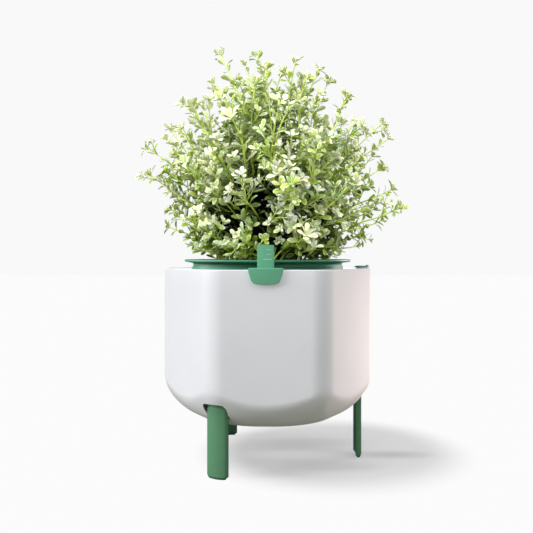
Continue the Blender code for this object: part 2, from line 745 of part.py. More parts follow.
# cap, cut back at the hinge and joined to its knuckle by a web
cap = plate("filler_cap", oval(92.3, 5.4, 12.0, SQUARED), 184.3, 185.02, GAUGE_GREEN)
combine(cap, plate("cap_tab", CAP_TAB, -6.0, 6.0, stance=UPRIGHT), "UNION")
combine(cap, box("cap_relief", (HINGE_X - 1.3, -14, 183), (HINGE_X + 3, 14, 188)))
web = box("cap_web", (HINGE_X - 2.2, -2.7, WEB_LOW), (HINGE_X - 0.2, 2.7, WEB_HIGH))
combine(cap, web, "UNION")
combine(cap, hinge_bar("cap_knuckle", KNUCKLE_R, 2.9, 14), "UNION")
combine(cap, hinge_bar("knuckle_hole", HINGE_HOLE_R, 8, 12))
hinge_bar("filler_hinge_pin", 0.35, 4.9, 12, STEEL)

# the cap's own origin sits on its hinge
hinge = Vector((HINGE_X * MM, 0, HINGE_Z * MM))
cap.data.transform(Matrix.Translation(-hinge))
cap.location = hinge
carry(cap, axis_empty("filler_cap_axis", HINGE_X, 0, HINGE_Z))

# ---- smooth shading with sharp edges; the turned pieces are shaded by their modifier -------------
for obj in parts.objects:
    if obj.type == "MESH" and not any(m.type == "SCREW" for m in obj.modifiers):
        obj.data.shade_smooth()
        obj.data.set_sharp_from_angle(angle=math.radians(35))
bpy.context.view_layer.update()
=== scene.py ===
"""Looks for the self watering planter: fine surfaces, materials, the plant, floor, light and camera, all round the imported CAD."""

import json
import math
import random

import bmesh
import bpy
import numpy as np
from mathutils import Matrix, Vector, noise

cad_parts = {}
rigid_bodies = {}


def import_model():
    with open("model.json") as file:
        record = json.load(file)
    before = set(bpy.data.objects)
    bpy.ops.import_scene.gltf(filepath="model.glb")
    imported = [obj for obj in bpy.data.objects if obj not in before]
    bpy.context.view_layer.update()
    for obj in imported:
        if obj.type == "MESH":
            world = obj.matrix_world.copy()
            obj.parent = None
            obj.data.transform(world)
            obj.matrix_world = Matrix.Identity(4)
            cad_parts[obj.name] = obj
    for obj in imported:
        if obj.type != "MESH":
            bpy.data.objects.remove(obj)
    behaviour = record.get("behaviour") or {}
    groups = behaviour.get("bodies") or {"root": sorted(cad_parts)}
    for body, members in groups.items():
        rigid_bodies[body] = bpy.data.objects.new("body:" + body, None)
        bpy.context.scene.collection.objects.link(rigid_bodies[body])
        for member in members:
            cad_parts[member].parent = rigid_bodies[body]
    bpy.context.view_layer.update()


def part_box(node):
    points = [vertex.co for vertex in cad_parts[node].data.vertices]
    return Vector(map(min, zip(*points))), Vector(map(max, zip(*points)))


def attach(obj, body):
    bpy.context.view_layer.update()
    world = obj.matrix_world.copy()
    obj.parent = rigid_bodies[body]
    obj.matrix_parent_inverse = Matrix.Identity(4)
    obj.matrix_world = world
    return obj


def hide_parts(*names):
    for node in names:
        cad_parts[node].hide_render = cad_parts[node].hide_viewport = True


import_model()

MM = 0.001
scene = bpy.context.scene
scene.view_settings.view_transform = "Standard"
scene.view_settings.look = "None"

# ---- dimensions shared with the CAD, in millimetres; the main ones are read from it ------------------
bowl_lo, bowl_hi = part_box("outer_bowl")
RIM_Z = bowl_hi.z / MM
FLAT = bowl_hi.y / MM
CORNER_R = 24.0
WALL = 3.0
TURN_Z, TURN_R, TURN_ANGLE, TOE_R, ROUND_POWER = 80.0, 40.0, 1.13, 22.0, 1.1
CREASE_Z, CREASE_R, CREASE_ANGLE = 68.0, 14.0, 0.49
LIFT, LIFT_END = 10.0, 46.0
LEG_ANGLES = {"front_left": -30.0, "right": 90.0, "back": 210.0}
LEG_APEX, LEG_CURVE, LEG_T, LEG_HALF, LEG_TOP = 91.5, 19.0, 2.8, 10.6, 80.0
PAD_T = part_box("foot_pad_right")[1].z / MM
LEG_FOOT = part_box("leg_right")[0].z / MM
POCKET_GAP, POCKET_TOP = 0.8, 82.5
MOUTH_OUT, MOUTH_TOP = 4.6, 70.0
BOSS_TOP, BOSS_IN, BOSS_HALF = 85.5, 81.4, 13.8
POT_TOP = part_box("inner_pot")[1].z / MM
POT_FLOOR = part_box("inner_pot")[0].z / MM
FLANGE_R, COLLAR_R, STEP_R, POT_WALL, BASKET_R = 80.6, 72.4, 73.5, 2.1, 19.0
CLIP_HALF, STICK_HALF, STICK_T, STICK_Y = 15.05, 7.35, 1.8, -83.0
STICK_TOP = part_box("gauge_stick")[1].z / MM
STICK_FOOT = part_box("gauge_stick")[0].z / MM
GX = (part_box("gauge_stick")[0].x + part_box("gauge_stick")[1].x) / 2 / MM  # the gauge stands a little left of the middle
CASSETTE_BOTTOM = 112.0
PORT_X, HINGE_X, HINGE_Z = 91.7, 97.3, 185.1
SOIL_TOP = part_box("soil")[1].z / MM
PLANT_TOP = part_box("plant_foliage")[1].z / MM


# =====================================================================================================
# materials
# =====================================================================================================
class Nodes:
    """A little help to write node trees."""

    def __init__(self, name):
        self.m = bpy.data.materials.new(name)
        self.m.use_nodes = True
        self.t = self.m.node_tree
        self.p = self.t.nodes["Principled BSDF"]
        self.out = self.t.nodes["Material Output"]

    def new(self, kind, **values):
        n = self.t.nodes.new(kind)
        for k, v in values.items():
            setattr(n, k, v)
        return n

    def link(self, a, b):
        self.t.links.new(a, b)

    def coords(self):
        return self.new("ShaderNodeTexCoord").outputs["Object"]

    def noise(self, vec, scale, detail=3.0, rough=0.55, distortion=0.0):
        n = self.new("ShaderNodeTexNoise")
        n.inputs["Scale"].default_value = scale
        n.inputs["Detail"].default_value = detail
        n.inputs["Roughness"].default_value = rough
        n.inputs["Distortion"].default_value = distortion
        self.link(vec, n.inputs["Vector"])
        return n.outputs["Fac"]

    def ramp(self, fac, stops):
        n = self.new("ShaderNodeValToRGB")
        e = n.color_ramp.elements
        while len(e) > 1:
            e.remove(e[-1])
        e[0].position, e[0].color = stops[0][0], (*stops[0][1], 1.0)
        for pos, col in stops[1:]:
            s = e.new(pos)
            s.color = (*col, 1.0)
        self.link(fac, n.inputs["Fac"])
        return n.outputs["Color"]

    def math(self, op, a, b=None, c=None, clamp=False):
        n = self.new("ShaderNodeMath", operation=op, use_clamp=clamp)
        for i, v in enumerate((a, b, c)):
            if v is None:
                continue
            if isinstance(v, (int, float)):
                n.inputs[i].default_value = v
            else:
                self.link(v, n.inputs[i])
        return n.outputs[0]

    def smooth(self, v, lo, hi, a=0.0, b=1.0):
        n = self.new("ShaderNodeMapRange", interpolation_type="SMOOTHSTEP")
        self.link(v, n.inputs["Value"])
        for k, x in (("From Min", lo), ("From Max", hi), ("To Min", a), ("To Max", b)):
            n.inputs[k].default_value = x
        return n.outputs["Result"]

    def mix(self, fac, a, b, blend="MIX"):
        n = self.new("ShaderNodeMix", data_type="RGBA", blend_type=blend)
        for sock, v in ((n.inputs[0], fac), (n.inputs[6], a), (n.inputs[7], b)):
            if isinstance(v, (int, float)):
                sock.default_value = v
            elif isinstance(v, tuple):
                sock.default_value = (*v, 1.0)
            else:
                self.link(v, sock)
        return n.outputs[2]

    def bump(self, height, distance, strength=1.0, normal=None):
        n = self.new("ShaderNodeBump")
        n.inputs["Strength"].default_value = strength
        n.inputs["Distance"].default_value = distance
        self.link(height, n.inputs["Height"])
        if normal is not None:
            self.link(normal, n.inputs["Normal"])
        return n.outputs["Normal"]


def plastic(name, colour, roughness=0.45, grain=0.02, mottle=0.05, spec=0.4, streak=0.0):
    """Moulded satin plastic: faint cloudiness from the melt's flow, a fine spark-eroded grain, roughness that wanders a little."""
    n = Nodes(name)
    v = n.coords()
    cloud = n.noise(v, 28.0, 4.0)
    fine = n.noise(v, 2600.0, 2.0, 0.6)
    orange = n.noise(v, 420.0, 3.0, 0.5)
    dark = tuple(c * (1 - mottle) for c in colour)
    light = tuple(min(1.0, c * (1 + mottle)) for c in colour)
    col = n.ramp(cloud, [(0.3, dark), (0.7, light)])
    speck = n.smooth(fine, 0.62, 0.72)
    col = n.mix(n.math("MULTIPLY", speck, 0.35), col, tuple(min(1.0, c * 1.12 + 0.004) for c in colour))
    if streak:
        st = n.new("ShaderNodeMapping")
        st.inputs["Scale"].default_value = (1.0, 1.0, 0.08)
        n.link(v, st.inputs["Vector"])
        lines = n.noise(st.outputs["Vector"], 180.0, 3.0, 0.6)
        col = n.mix(n.math("MULTIPLY", n.smooth(lines, 0.4, 0.75), streak), col, tuple(c * 0.82 for c in colour))
    n.link(col, n.p.inputs["Base Color"])
    rough = n.smooth(n.noise(v, 60.0, 4.0), 0.25, 0.75, roughness - 0.05, roughness + 0.06)
    n.link(rough, n.p.inputs["Roughness"])
    n.p.inputs["Specular IOR Level"].default_value = spec
    first = n.bump(orange, 0.00006, 0.35)
    n.link(n.bump(fine, 0.00003, grain * 10, first), n.p.inputs["Normal"])
    n.m.diffuse_color = (*colour, 1.0)
    return n.m


BOWL = plastic("bowl_white_plastic", (0.790, 0.797, 0.845), 0.46, 0.022, 0.012, 0.35)


def paint_pocket_shade(material):
    """Painted shade on the walls of the leg pockets, which never see open light: they are marked by a face attribute,
    and their colour is mixed towards a near-black green that stands in for their shadow.
    """
    t = material.node_tree
    base = t.nodes["Principled BSDF"].inputs["Base Color"]
    source = base.links[0].from_socket
    mark = t.nodes.new("ShaderNodeAttribute")
    mark.attribute_name = "pocket_painted_shade"
    mix = t.nodes.new("ShaderNodeMix")
    mix.data_type = "RGBA"
    mix.inputs[7].default_value = (0.050, 0.080, 0.065, 1.0)
    t.links.new(mark.outputs["Fac"], mix.inputs[0])
    t.links.new(source, mix.inputs[6])
    t.links.new(mix.outputs[2], base)


# painted shade inside the bowl's leg pockets
paint_pocket_shade(BOWL)
LEG = plastic("leg_green_plastic", (0.107, 0.285, 0.152), 0.5, 0.03, 0.05, 0.35, 0.10)
POT = plastic("pot_green_plastic", (0.050, 0.235, 0.135), 0.42, 0.03, 0.06, 0.4)
GAUGE = plastic("gauge_green_plastic", (0.136, 0.430, 0.268), 0.46, 0.03, 0.06, 0.4, 0.16)
CAPM = plastic("cap_green_plastic", (0.136, 0.410, 0.290), 0.42, 0.03, 0.06, 0.4)
TICK = plastic("tick_white_print", (0.46, 0.66, 0.57), 0.5, 0.02, 0.02, 0.3)


def pad_material():
    n = Nodes("foot_pad_rubber")
    v = n.coords()
    col = n.ramp(n.noise(v, 700.0, 3.0), [(0.3, (0.045, 0.125, 0.065)), (0.7, (0.065, 0.165, 0.085))])
    n.link(col, n.p.inputs["Base Color"])
    n.p.inputs["Roughness"].default_value = 0.78
    n.link(n.bump(n.noise(v, 1800.0, 2.0), 0.00008, 0.5), n.p.inputs["Normal"])
    return n.m


def foam_material():
    """Closed-cell foam: round cells that show as small dimples."""
    n = Nodes("float_foam")
    v = n.coords()
    vor = n.new("ShaderNodeTexVoronoi")
    vor.inputs["Scale"].default_value = 620.0
    n.link(v, vor.inputs["Vector"])
    cells = vor.outputs["Distance"]
    col = n.ramp(cells, [(0.0, (0.88, 0.88, 0.85)), (0.8, (0.70, 0.70, 0.66))])
    n.link(col, n.p.inputs["Base Color"])
    n.p.inputs["Roughness"].default_value = 0.75
    n.link(n.bump(cells, 0.0004, 0.5), n.p.inputs["Normal"])
    return n.m


def felt_material():
    """Needle felt: crossed fibres and darker tufts."""
    n = Nodes("capillary_felt")
    v = n.coords()
    fib = []
    for k, s in enumerate(((1, 9, 1), (9, 1, 1), (6, 6, 1))):
        m = n.new("ShaderNodeMapping")
        m.inputs["Scale"].default_value = s
        m.inputs["Rotation"].default_value = (0, 0, 0.7 * k)
        n.link(v, m.inputs["Vector"])
        fib.append(n.noise(m.outputs["Vector"], 330.0, 4.0, 0.7))
    h = n.math("ADD", n.math("ADD", fib[0], fib[1]), fib[2])
    col = n.ramp(n.math("DIVIDE", h, 3.0), [(0.35, (0.17, 0.165, 0.15)), (0.65, (0.42, 0.41, 0.38))])
    n.link(col, n.p.inputs["Base Color"])
    n.p.inputs["Roughness"].default_value = 0.95
    n.p.inputs["Sheen Weight"].default_value = 0.3
    n.link(n.bump(h, 0.0005, 0.6), n.p.inputs["Normal"])
    return n.m


def soil_material():
    n = Nodes("potting_soil")
    v = n.coords()
    a = n.noise(v, 160.0, 6.0, 0.7)
    b = n.noise(v, 900.0, 4.0, 0.65)
    col = n.ramp(a, [(0.3, (0.008, 0.005, 0.003)), (0.55, (0.026, 0.016, 0.010)), (0.75, (0.060, 0.038, 0.022))])
    col = n.mix(n.math("MULTIPLY", n.smooth(b, 0.62, 0.7), 0.5), col, (0.11, 0.075, 0.045))
    n.link(col, n.p.inputs["Base Color"])
    n.link(n.smooth(a, 0.3, 0.7, 0.7, 0.98), n.p.inputs["Roughness"])
    n.link(n.bump(n.math("ADD", a, b), 0.0008, 0.8), n.p.inputs["Normal"])
    return n.m


def steel_material():
    n = Nodes("hinge_pin_steel")
    v = n.coords()
    m = n.new("ShaderNodeMapping")
    m.inputs["Scale"].default_value = (1.0, 0.05, 1.0)
    n.link(v, m.inputs["Vector"])
    lines = n.noise(m.outputs["Vector"], 5000.0, 2.0)
    n.link(n.ramp(lines, [(0.3, (0.52, 0.52, 0.54)), (0.7, (0.68, 0.68, 0.70))]), n.p.inputs["Base Color"])
    n.p.inputs["Metallic"].default_value = 1.0
    n.link(n.smooth(lines, 0.3, 0.7, 0.22, 0.36), n.p.inputs["Roughness"])
    return n.m


def leaf_material():
    """A variegated leaf: green middle, grey-green zone, cream margin; fine veins; painted shade makes it darker deep in
    the crown.
    leaf_a holds (along, across, upper side) and leaf_b holds (variegation, chance, openness)."""
    n = Nodes("variegated_leaf")
    a = n.new("ShaderNodeAttribute", attribute_name="leaf_a")
    b = n.new("ShaderNodeAttribute", attribute_name="leaf_b")
    sa, sb = n.new("ShaderNodeSeparateXYZ"), n.new("ShaderNodeSeparateXYZ")
    n.link(a.outputs["Vector"], sa.inputs[0])
    n.link(b.outputs["Vector"], sb.inputs[0])
    along, across, upper = sa.outputs
    var, chance, open_ = sb.outputs
    v = n.coords()
    wob = n.noise(v, 520.0, 3.0, 0.6)
    blotch = n.noise(v, 240.0, 2.0, 0.5)
    edge = n.math("MAXIMUM", n.math("ABSOLUTE", across), n.smooth(along, 0.72, 1.0))
    x = n.math("MULTIPLY_ADD", n.math("POWER", edge, 2.4), 0.46, -0.04)
    # variegation is weakened deep in the crown, so the leaves there come out greener
    x = n.math("ADD", x, n.math("MULTIPLY_ADD", n.math("MULTIPLY", var, n.smooth(open_, 0.0, 0.8, 0.30, 1.0)), 0.92, -0.10))
    x = n.math("ADD", x, n.math("MULTIPLY_ADD", wob, 0.30, -0.15))
    x = n.math("ADD", x, n.math("MULTIPLY_ADD", blotch, 0.24, -0.12), clamp=True)
    green = n.ramp(
        x,
        [
            (0.0, (0.130, 0.250, 0.012)),
            (0.20, (0.225, 0.368, 0.022)),
            (0.38, (0.365, 0.518, 0.066)),
            (0.54, (0.530, 0.635, 0.230)),
            (0.70, (0.675, 0.730, 0.485)),
            (0.86, (0.765, 0.785, 0.640)),
            (1.0, (0.790, 0.795, 0.710)),
        ],
    )
    warm = n.mix(n.smooth(chance, 0.45, 1.0, 0.0, 0.42), green, (1.12, 1.04, 0.62), "MULTIPLY")
    cool = n.mix(n.smooth(chance, 0.0, 0.4, 0.60, 0.0), warm, (0.80, 0.96, 1.06), "MULTIPLY")
    # midrib and side veins
    rib = n.smooth(n.math("ABSOLUTE", across), 0.0, 0.14, 1.0, 0.0)
    side = n.math("SINE", n.math("MULTIPLY", n.math("SUBTRACT", along, n.math("MULTIPLY", n.math("ABSOLUTE", across), 0.22)), 46.0))
    veins = n.math("MULTIPLY", n.smooth(side, 0.75, 1.0), 0.16)
    line = n.math("MAXIMUM", n.math("MULTIPLY", rib, 0.34), veins)
    col = n.mix(line, cool, (0.58, 0.70, 0.20))
    # the lower side is paler and greyer
    col = n.mix(n.smooth(upper, 0.4, 0.6, 0.20, 0.0), col, (0.47, 0.60, 0.19))
    # painted shade: leaves deep in the crown, where openness is low, are darkened and pulled towards a dark green
    deep = n.smooth(open_, 0.08, 0.95, 0.02, 1.0)
    dark = n.mix(1.0, col, (0.45, 0.62, 0.25), "MULTIPLY")
    col = n.mix(deep, dark, col)
    shade = n.new("ShaderNodeCombineColor")
    for i in range(3):
        n.link(deep, shade.inputs[i])
    col = n.mix(1.0, col, shade.outputs[0], "MULTIPLY")
    n.link(col, n.p.inputs["Base Color"])
    n.link(n.smooth(wob, 0.3, 0.7, 0.40, 0.58), n.p.inputs["Roughness"])
    n.p.inputs["Specular IOR Level"].default_value = 0.12
    h = n.math("ADD", n.math("MULTIPLY", line, 0.8), n.math("MULTIPLY", wob, 0.5))
    n.link(n.bump(h, 0.00035, 0.6), n.p.inputs["Normal"])
    tr = n.new("ShaderNodeBsdfTranslucent")
    n.link(n.mix(0.6, col, (1.0, 1.0, 0.40), "MULTIPLY"), tr.inputs["Color"])
    mixer = n.new("ShaderNodeMixShader")
    mixer.inputs[0].default_value = 0.28
    n.link(n.p.outputs[0], mixer.inputs[1])
    n.link(tr.outputs[0], mixer.inputs[2])
    n.link(mixer.outputs[0], n.out.inputs["Surface"])
    return n.m


def stem_material():
    n = Nodes("young_stem")
    b = n.new("ShaderNodeAttribute", attribute_name="leaf_b")
    sb = n.new("ShaderNodeSeparateXYZ")
    n.link(b.outputs["Vector"], sb.inputs[0])
    age, chance, open_ = sb.outputs
    v = n.coords()
    w = n.noise(v, 300.0, 4.0, 0.6)
    col = n.ramp(n.math("ADD", age, n.math("MULTIPLY_ADD", w, 0.5, -0.25), clamp=True), [(0.0, (0.130, 0.130, 0.030)), (0.3, (0.200, 0.300, 0.030)), (0.7, (0.390, 0.520, 0.050)), (1.0, (0.520, 0.640, 0.160))])
    # painted shade: stems deep in the crown, where openness is low, are darkened
    deep = n.smooth(open_, 0.0, 1.0, 0.14, 1.0)
    shade = n.new("ShaderNodeCombineColor")
    for i in range(3):
        n.link(deep, shade.inputs[i])
    n.link(n.mix(1.0, col, shade.outputs[0], "MULTIPLY"), n.p.inputs["Base Color"])
    n.p.inputs["Roughness"].default_value = 0.5
    n.link(n.bump(w, 0.0003, 0.5), n.p.inputs["Normal"])
    return n.m


PAD, FOAM, FELT, SOIL, STEEL, LEAF, STEM = (
    pad_material(),
    foam_material(),
    felt_material(),
    soil_material(),
    steel_material(),
    leaf_material(),
    stem_material(),
)


# =====================================================================================================
# mesh tools; everything is built in the row frame, in metres
# =====================================================================================================
def obj_from(name, me, mat=None):
    o = bpy.data.objects.new(name, me)
    scene.collection.objects.link(o)
    if mat is not None:
        me.materials.clear()
        me.materials.append(mat)
    return o


def mesh_from_bm(name, bm, recalc=True):
    if recalc:
        bmesh.ops.recalc_face_normals(bm, faces=bm.faces)
    me = bpy.data.meshes.new(name)
    bm.to_mesh(me)
    bm.free()
    return me


def lofted(name, rings, mat=None):
    """A closed body through rings of equal count, in millimetres, with flat ends."""
    bm = bmesh.new()
    rows = [[bm.verts.new((x * MM, y * MM, z * MM)) for x, y, z in ring] for ring in rings]
    n = len(rows[0])
    for a, b in zip(rows, rows[1:]):
        for i in range(n):
            bm.faces.new((a[i], a[(i + 1) % n], b[(i + 1) % n], b[i]))
    bm.faces.new(rows[0])
    bm.faces.new(list(reversed(rows[-1])))
    return obj_from(name, mesh_from_bm(name, bm), mat)


def turned(name, profile, steps, mat=None):
    """A closed profile of (radius, height) turned about Z; a point at radius 0 becomes a pole."""
    bm = bmesh.new()
    cols = []
    for r, z in profile:
        if r < 1e-9:
            cols.append([bm.verts.new((0, 0, z * MM))])
        else:
            cols.append([bm.verts.new((r * MM * math.cos(2 * math.pi * k / steps), r * MM * math.sin(2 * math.pi * k / steps), z * MM)) for k in range(steps)])
    pairs = list(zip(cols, cols[1:]))
    if len(cols[0]) > 1 or len(cols[-1]) > 1:
        pairs.append((cols[-1], cols[0]))
    for a, b in pairs:
        if len(a) == 1 and len(b) == 1:
            continue
        for k in range(steps):
            j = (k + 1) % steps
            if len(a) == 1:
                bm.faces.new((a[0], b[k], b[j]))
            elif len(b) == 1:
                bm.faces.new((a[k], b[0], a[j]))
            else:
                bm.faces.new((a[k], b[k], b[j], a[j]))
    return obj_from(name, mesh_from_bm(name, bm), mat)


def rounded(points, radii, steps=4):
    """An outline or profile whose corners are rounded: each corner gets its radius."""
    out = []
    n = len(points)
    for i in range(n):
        p = Vector((*points[i], 0))
        r = radii[i] if isinstance(radii, (list, tuple)) else radii
        a, b = Vector((*points[i - 1], 0)) - p, Vector((*points[(i + 1) % n], 0)) - p
        if r <= 0:
            out.append(points[i])
            continue
        la, lb = a.length, b.length
        a, b = a / la, b / lb
        half = a.angle(b) / 2
        if half > math.pi / 2 - 0.03:
            out.append(points[i])
            continue
        t = min(r / math.tan(half), la * 0.48, lb * 0.48)
        r = t * math.tan(half)
        centre = p + (a + b).normalized() * (r / math.sin(half))
        va, vb = p + a * t - centre, p + b * t - centre
        sweep = va.angle(vb)
        for k in range(steps + 1):
            f = k / steps
            v = (va * math.sin((1 - f) * sweep) + vb * math.sin(f * sweep)) / max(math.sin(sweep), 1e-9)
            out.append(((centre + v).x, (centre + v).y))
    return out


def plate(name, outline, low, high, mat=None, turn=None, edge=0.0, segments=3):
    """An outline made thick along Z, with its long edges eased by edge."""
    bm = bmesh.new()
    lower = [bm.verts.new((x * MM, y * MM, low * MM)) for x, y in outline]
    f = bm.faces.new(lower)
    up = bmesh.ops.extrude_face_region(bm, geom=[f])
    bmesh.ops.translate(bm, verts=[v for v in up["geom"] if isinstance(v, bmesh.types.BMVert)], vec=(0, 0, (high - low) * MM))
    bmesh.ops.recalc_face_normals(bm, faces=bm.faces)
    if edge:
        rim = [e for e in bm.edges if abs(e.verts[0].co.z - e.verts[1].co.z) < 1e-9]
        bmesh.ops.bevel(bm, geom=rim, offset=edge * MM, segments=segments, profile=0.5, affect="EDGES", clamp_overlap=True)
    me = mesh_from_bm(name, bm)
    if turn is not None:
        me.transform(turn)
    return obj_from(name, me, mat)


def block(name, lo, hi, mat=None, edge=0.0, segments=3):
    lo, hi = Vector(lo) * MM, Vector(hi) * MM
    bm = bmesh.new()
    bmesh.ops.create_cube(bm, size=1.0, matrix=Matrix.Translation((lo + hi) / 2) @ Matrix.Diagonal((*(hi - lo), 1.0)))
    if edge:
        bmesh.ops.bevel(bm, geom=list(bm.edges), offset=edge * MM, segments=segments, profile=0.5, affect="EDGES", clamp_overlap=True)
    return obj_from(name, mesh_from_bm(name, bm), mat)


def bar(name, r, lo, hi, steps=40, mat=None, edge=0.0):
    lo, hi = Vector(lo) * MM, Vector(hi) * MM
    bm = bmesh.new()
    m = Matrix.Translation((lo + hi) / 2) @ (hi - lo).to_track_quat("Z", "Y").to_matrix().to_4x4()
    bmesh.ops.create_cone(bm, cap_ends=True, segments=steps, radius1=r * MM, radius2=r * MM, depth=(hi - lo).length, matrix=m)
    if edge:
        d = (hi - lo).normalized()
        rim = [e for e in bm.edges if abs((e.verts[0].co - e.verts[1].co).normalized().dot(d)) < 0.5]
        bmesh.ops.bevel(bm, geom=rim, offset=edge * MM, segments=2, profile=0.5, affect="EDGES", clamp_overlap=True)
    return obj_from(name, mesh_from_bm(name, bm), mat)


def spin(obj, degrees):
    obj.data.transform(Matrix.Rotation(math.radians(degrees), 4, "Z"))
    return obj


def join_cut(target, steps):
    """Boolean steps, applied, and their helpers removed: steps is a list of (object, operation)."""
    for other, how in steps:
        m = target.modifiers.new("b", "BOOLEAN")
        m.operation, m.solver, m.object = how, "EXACT", other
    bpy.context.view_layer.update()
    dg = bpy.context.evaluated_depsgraph_get()
    me = bpy.data.meshes.new_from_object(target.evaluated_get(dg))
    mats = list(target.data.materials)
    target.modifiers.clear()
    target.data = me
    me.materials.clear()
    for m in mats:
        me.materials.append(m)
    me.polygons.foreach_set("material_index", np.zeros(len(me.polygons), np.int32))
    for other, how in steps:
        bpy.data.objects.remove(other)
    return target


def tidy(obj, angle=32, weld=1e-6):
    bm = bmesh.new()
    bm.from_mesh(obj.data)
    bmesh.ops.remove_doubles(bm, verts=bm.verts, dist=weld)
    bmesh.ops.dissolve_degenerate(bm, edges=bm.edges, dist=1e-7)
    bm.to_mesh(obj.data)
    bm.free()
    obj.data.shade_smooth()
    obj.data.set_sharp_from_angle(angle=math.radians(angle))
    return obj


def place(obj, body, slot, *nodes):
    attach(obj, body)
    if nodes:
        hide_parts(*nodes)
    return obj


UPRIGHT = Matrix.Rotation(math.pi / 2, 4, "X")  # a plan drawn in x, y stands up in X, Z; its thickness runs towards -Y


# =====================================================================================================
# bowl
# =====================================================================================================
SIDE_STEPS, ARC_STEPS = 12, 30


def directions(ratio):
    """Where a section's points stand across one side, as angles from its middle, the corner's radius being ratio of the distance to the side."""
    edge = math.atan((1 - ratio) * math.tan(math.pi / 6))
    half = [edge * k / SIDE_STEPS for k in range(SIDE_STEPS + 1)]
    half += [edge + (math.pi / 6 - edge) * k / (ARC_STEPS // 2) for k in range(1, ARC_STEPS // 2 + 1)]
    return [-a for a in reversed(half[1:-1])] + half


def section(flat, ratio, z, lift=0.0, spread=None):
    """A six-sided outline, flat its distance from the centre to a side and ratio its corner radius as a share of that.
    It stands lift higher at its corners than at the middles of its sides. The front side faces -Y."""
    ratio = min(ratio, 0.9995)
    spread = spread or SPREAD
    rc = flat * ratio
    centre = (flat - rc) / math.cos(math.pi / 6)
    reach = centre + rc - flat
    out = []
    for k in range(6):
        for a in spread:
            t = abs(a)
            if flat * math.tan(t) <= (flat - rc) * math.tan(math.pi / 6):
                rho = flat / math.cos(t)
            else:
                away = math.pi / 6 - t
                rho = centre * math.cos(away) + math.sqrt(rc * rc - (centre * math.sin(away)) ** 2)
            turn = math.pi / 3 * k + a
            out.append((rho * math.sin(turn), -rho * math.cos(turn), z + lift * min(1.0, max(0.0, (rho - flat) / reach))))
    return out


def levels(inset, arc1, arc2):
    """(flat, ratio, z, lift) down the side of the bowl, offset inwards by inset. The corners turn under early and gently;
    the flat sides run further down and turn more tightly, and end below in an arc that climbs towards the corners."""
    flat, rc = FLAT - inset, CORNER_R - inset
    r1, r2 = TURN_R - inset, TOE_R - inset
    crease_r = CREASE_R - inset
    crease_end = CREASE_Z - crease_r * math.sin(CREASE_ANGLE)
    turn_z, turn_f = TURN_Z - r1 * math.sin(TURN_ANGLE), flat - r1 * (1 - math.cos(TURN_ANGLE))
    base, base_z = turn_f - r2 * math.cos(TURN_ANGLE), turn_z - r2 * (1 - math.sin(TURN_ANGLE))
    start = rc / flat
    cos30 = math.cos(math.pi / 6)

    def under(z):
        """The gentle turn that the corners follow."""
        if z >= TURN_Z:
            return flat
        if z >= turn_z:
            return flat - r1 + math.sqrt(r1 * r1 - (TURN_Z - z) ** 2)
        return base + r2 * math.sqrt(max(0.0, 1 - (math.sin(TURN_ANGLE) + (turn_z - z) / r2) ** 2))

    heights = [TURN_Z, 77.0, 74.0, 71.0, 69.4, CREASE_Z] + [CREASE_Z - crease_r * math.sin(CREASE_ANGLE * k / 8) for k in range(1, 9)]
    last = math.asin((TURN_Z - crease_end) / r1)
    heights += [TURN_Z - r1 * math.sin(last + (TURN_ANGLE - last) * k / arc1) for k in range(1, arc1 + 1)]
    toe = [TURN_ANGLE + (math.pi / 2 - TURN_ANGLE) * k / arc2 for k in range(1, arc2 + 1)]
    heights += [turn_z - r2 * (math.sin(t) - math.sin(TURN_ANGLE)) for t in toe]
    bump = FLAT - CREASE_R + crease_r * math.cos(CREASE_ANGLE) - under(crease_end)
    out = []
    for z in heights:
        k = min(1.0, max(0.0, (z - LIFT_END) / (crease_end - LIFT_END)))
        lift = LIFT * k * k * (3 - 2 * k)
        f = under(z + lift)
        ratio = start + (1 - start) * max(0.0, (flat - f) / (flat - base)) ** ROUND_POWER
        corner = f / cos30 - (1 / cos30 - 1) * f * ratio
        if z >= CREASE_Z:
            side = flat
        elif z >= crease_end:
            side = FLAT - CREASE_R + math.sqrt(crease_r**2 - (CREASE_Z - z) ** 2)
        else:
            k = (z - base_z) / (crease_end - base_z)
            side = under(z) + bump * k * k * (3 - 2 * k)
        side = min(side, corner)
        round_r = (side / cos30 - corner) / (1 / cos30 - 1)
        out.append((side, min(max(round_r / side, 0.08), 0.999), z, lift))
    return out


SPREAD = directions(CORNER_R / FLAT)
outer = levels(0.0, 20, 12)
inner = levels(WALL, 16, 8)
BASE_Z, FLOOR_Z = outer[-1][2], inner[-1][2]
LIP = 1.0
rings = []
for k in range(7):
    t = math.pi / 2 * k / 6
    f = FLAT - LIP * (1 - math.sin(t))
    rings.append(section(f, (CORNER_R - (FLAT - f)) / f, RIM_Z - LIP * (1 - math.cos(t))))
for z in (170.0, 150.0, 125.0, 100.0):
    rings.append(section(FLAT, CORNER_R / FLAT, z))
rings += [section(*row) for row in outer]
for f in (0.8, 0.5, 0.2):
    rings.append(section(outer[-1][0] * f, 0.999, BASE_Z))
bowl = lofted("bowl_shell", rings, BOWL)

SPREAD = directions((CORNER_R - WALL) / (FLAT - WALL))
rings = [section(FLAT - WALL + 0.9, (CORNER_R - WALL + 0.9) / (FLAT - WALL + 0.9), RIM_Z + 6.0)]
for k in range(6):
    t = math.pi / 2 * k / 5
    f = FLAT - WALL + 0.9 * (1 - math.sin(t))
    rings.append(section(f, (f - FLAT + CORNER_R) / f, RIM_Z - 0.9 * (1 - math.cos(t)) + 0.0001))
for z in (150.0, 115.0):
    rings.append(section(FLAT - WALL, (CORNER_R - WALL) / (FLAT - WALL), z))
rings += [section(*row) for row in inner]
for f in (0.75, 0.3):
    rings.append(section(inner[-1][0] * f, 0.999, FLOOR_Z))
cavity = lofted("cavity", rings)


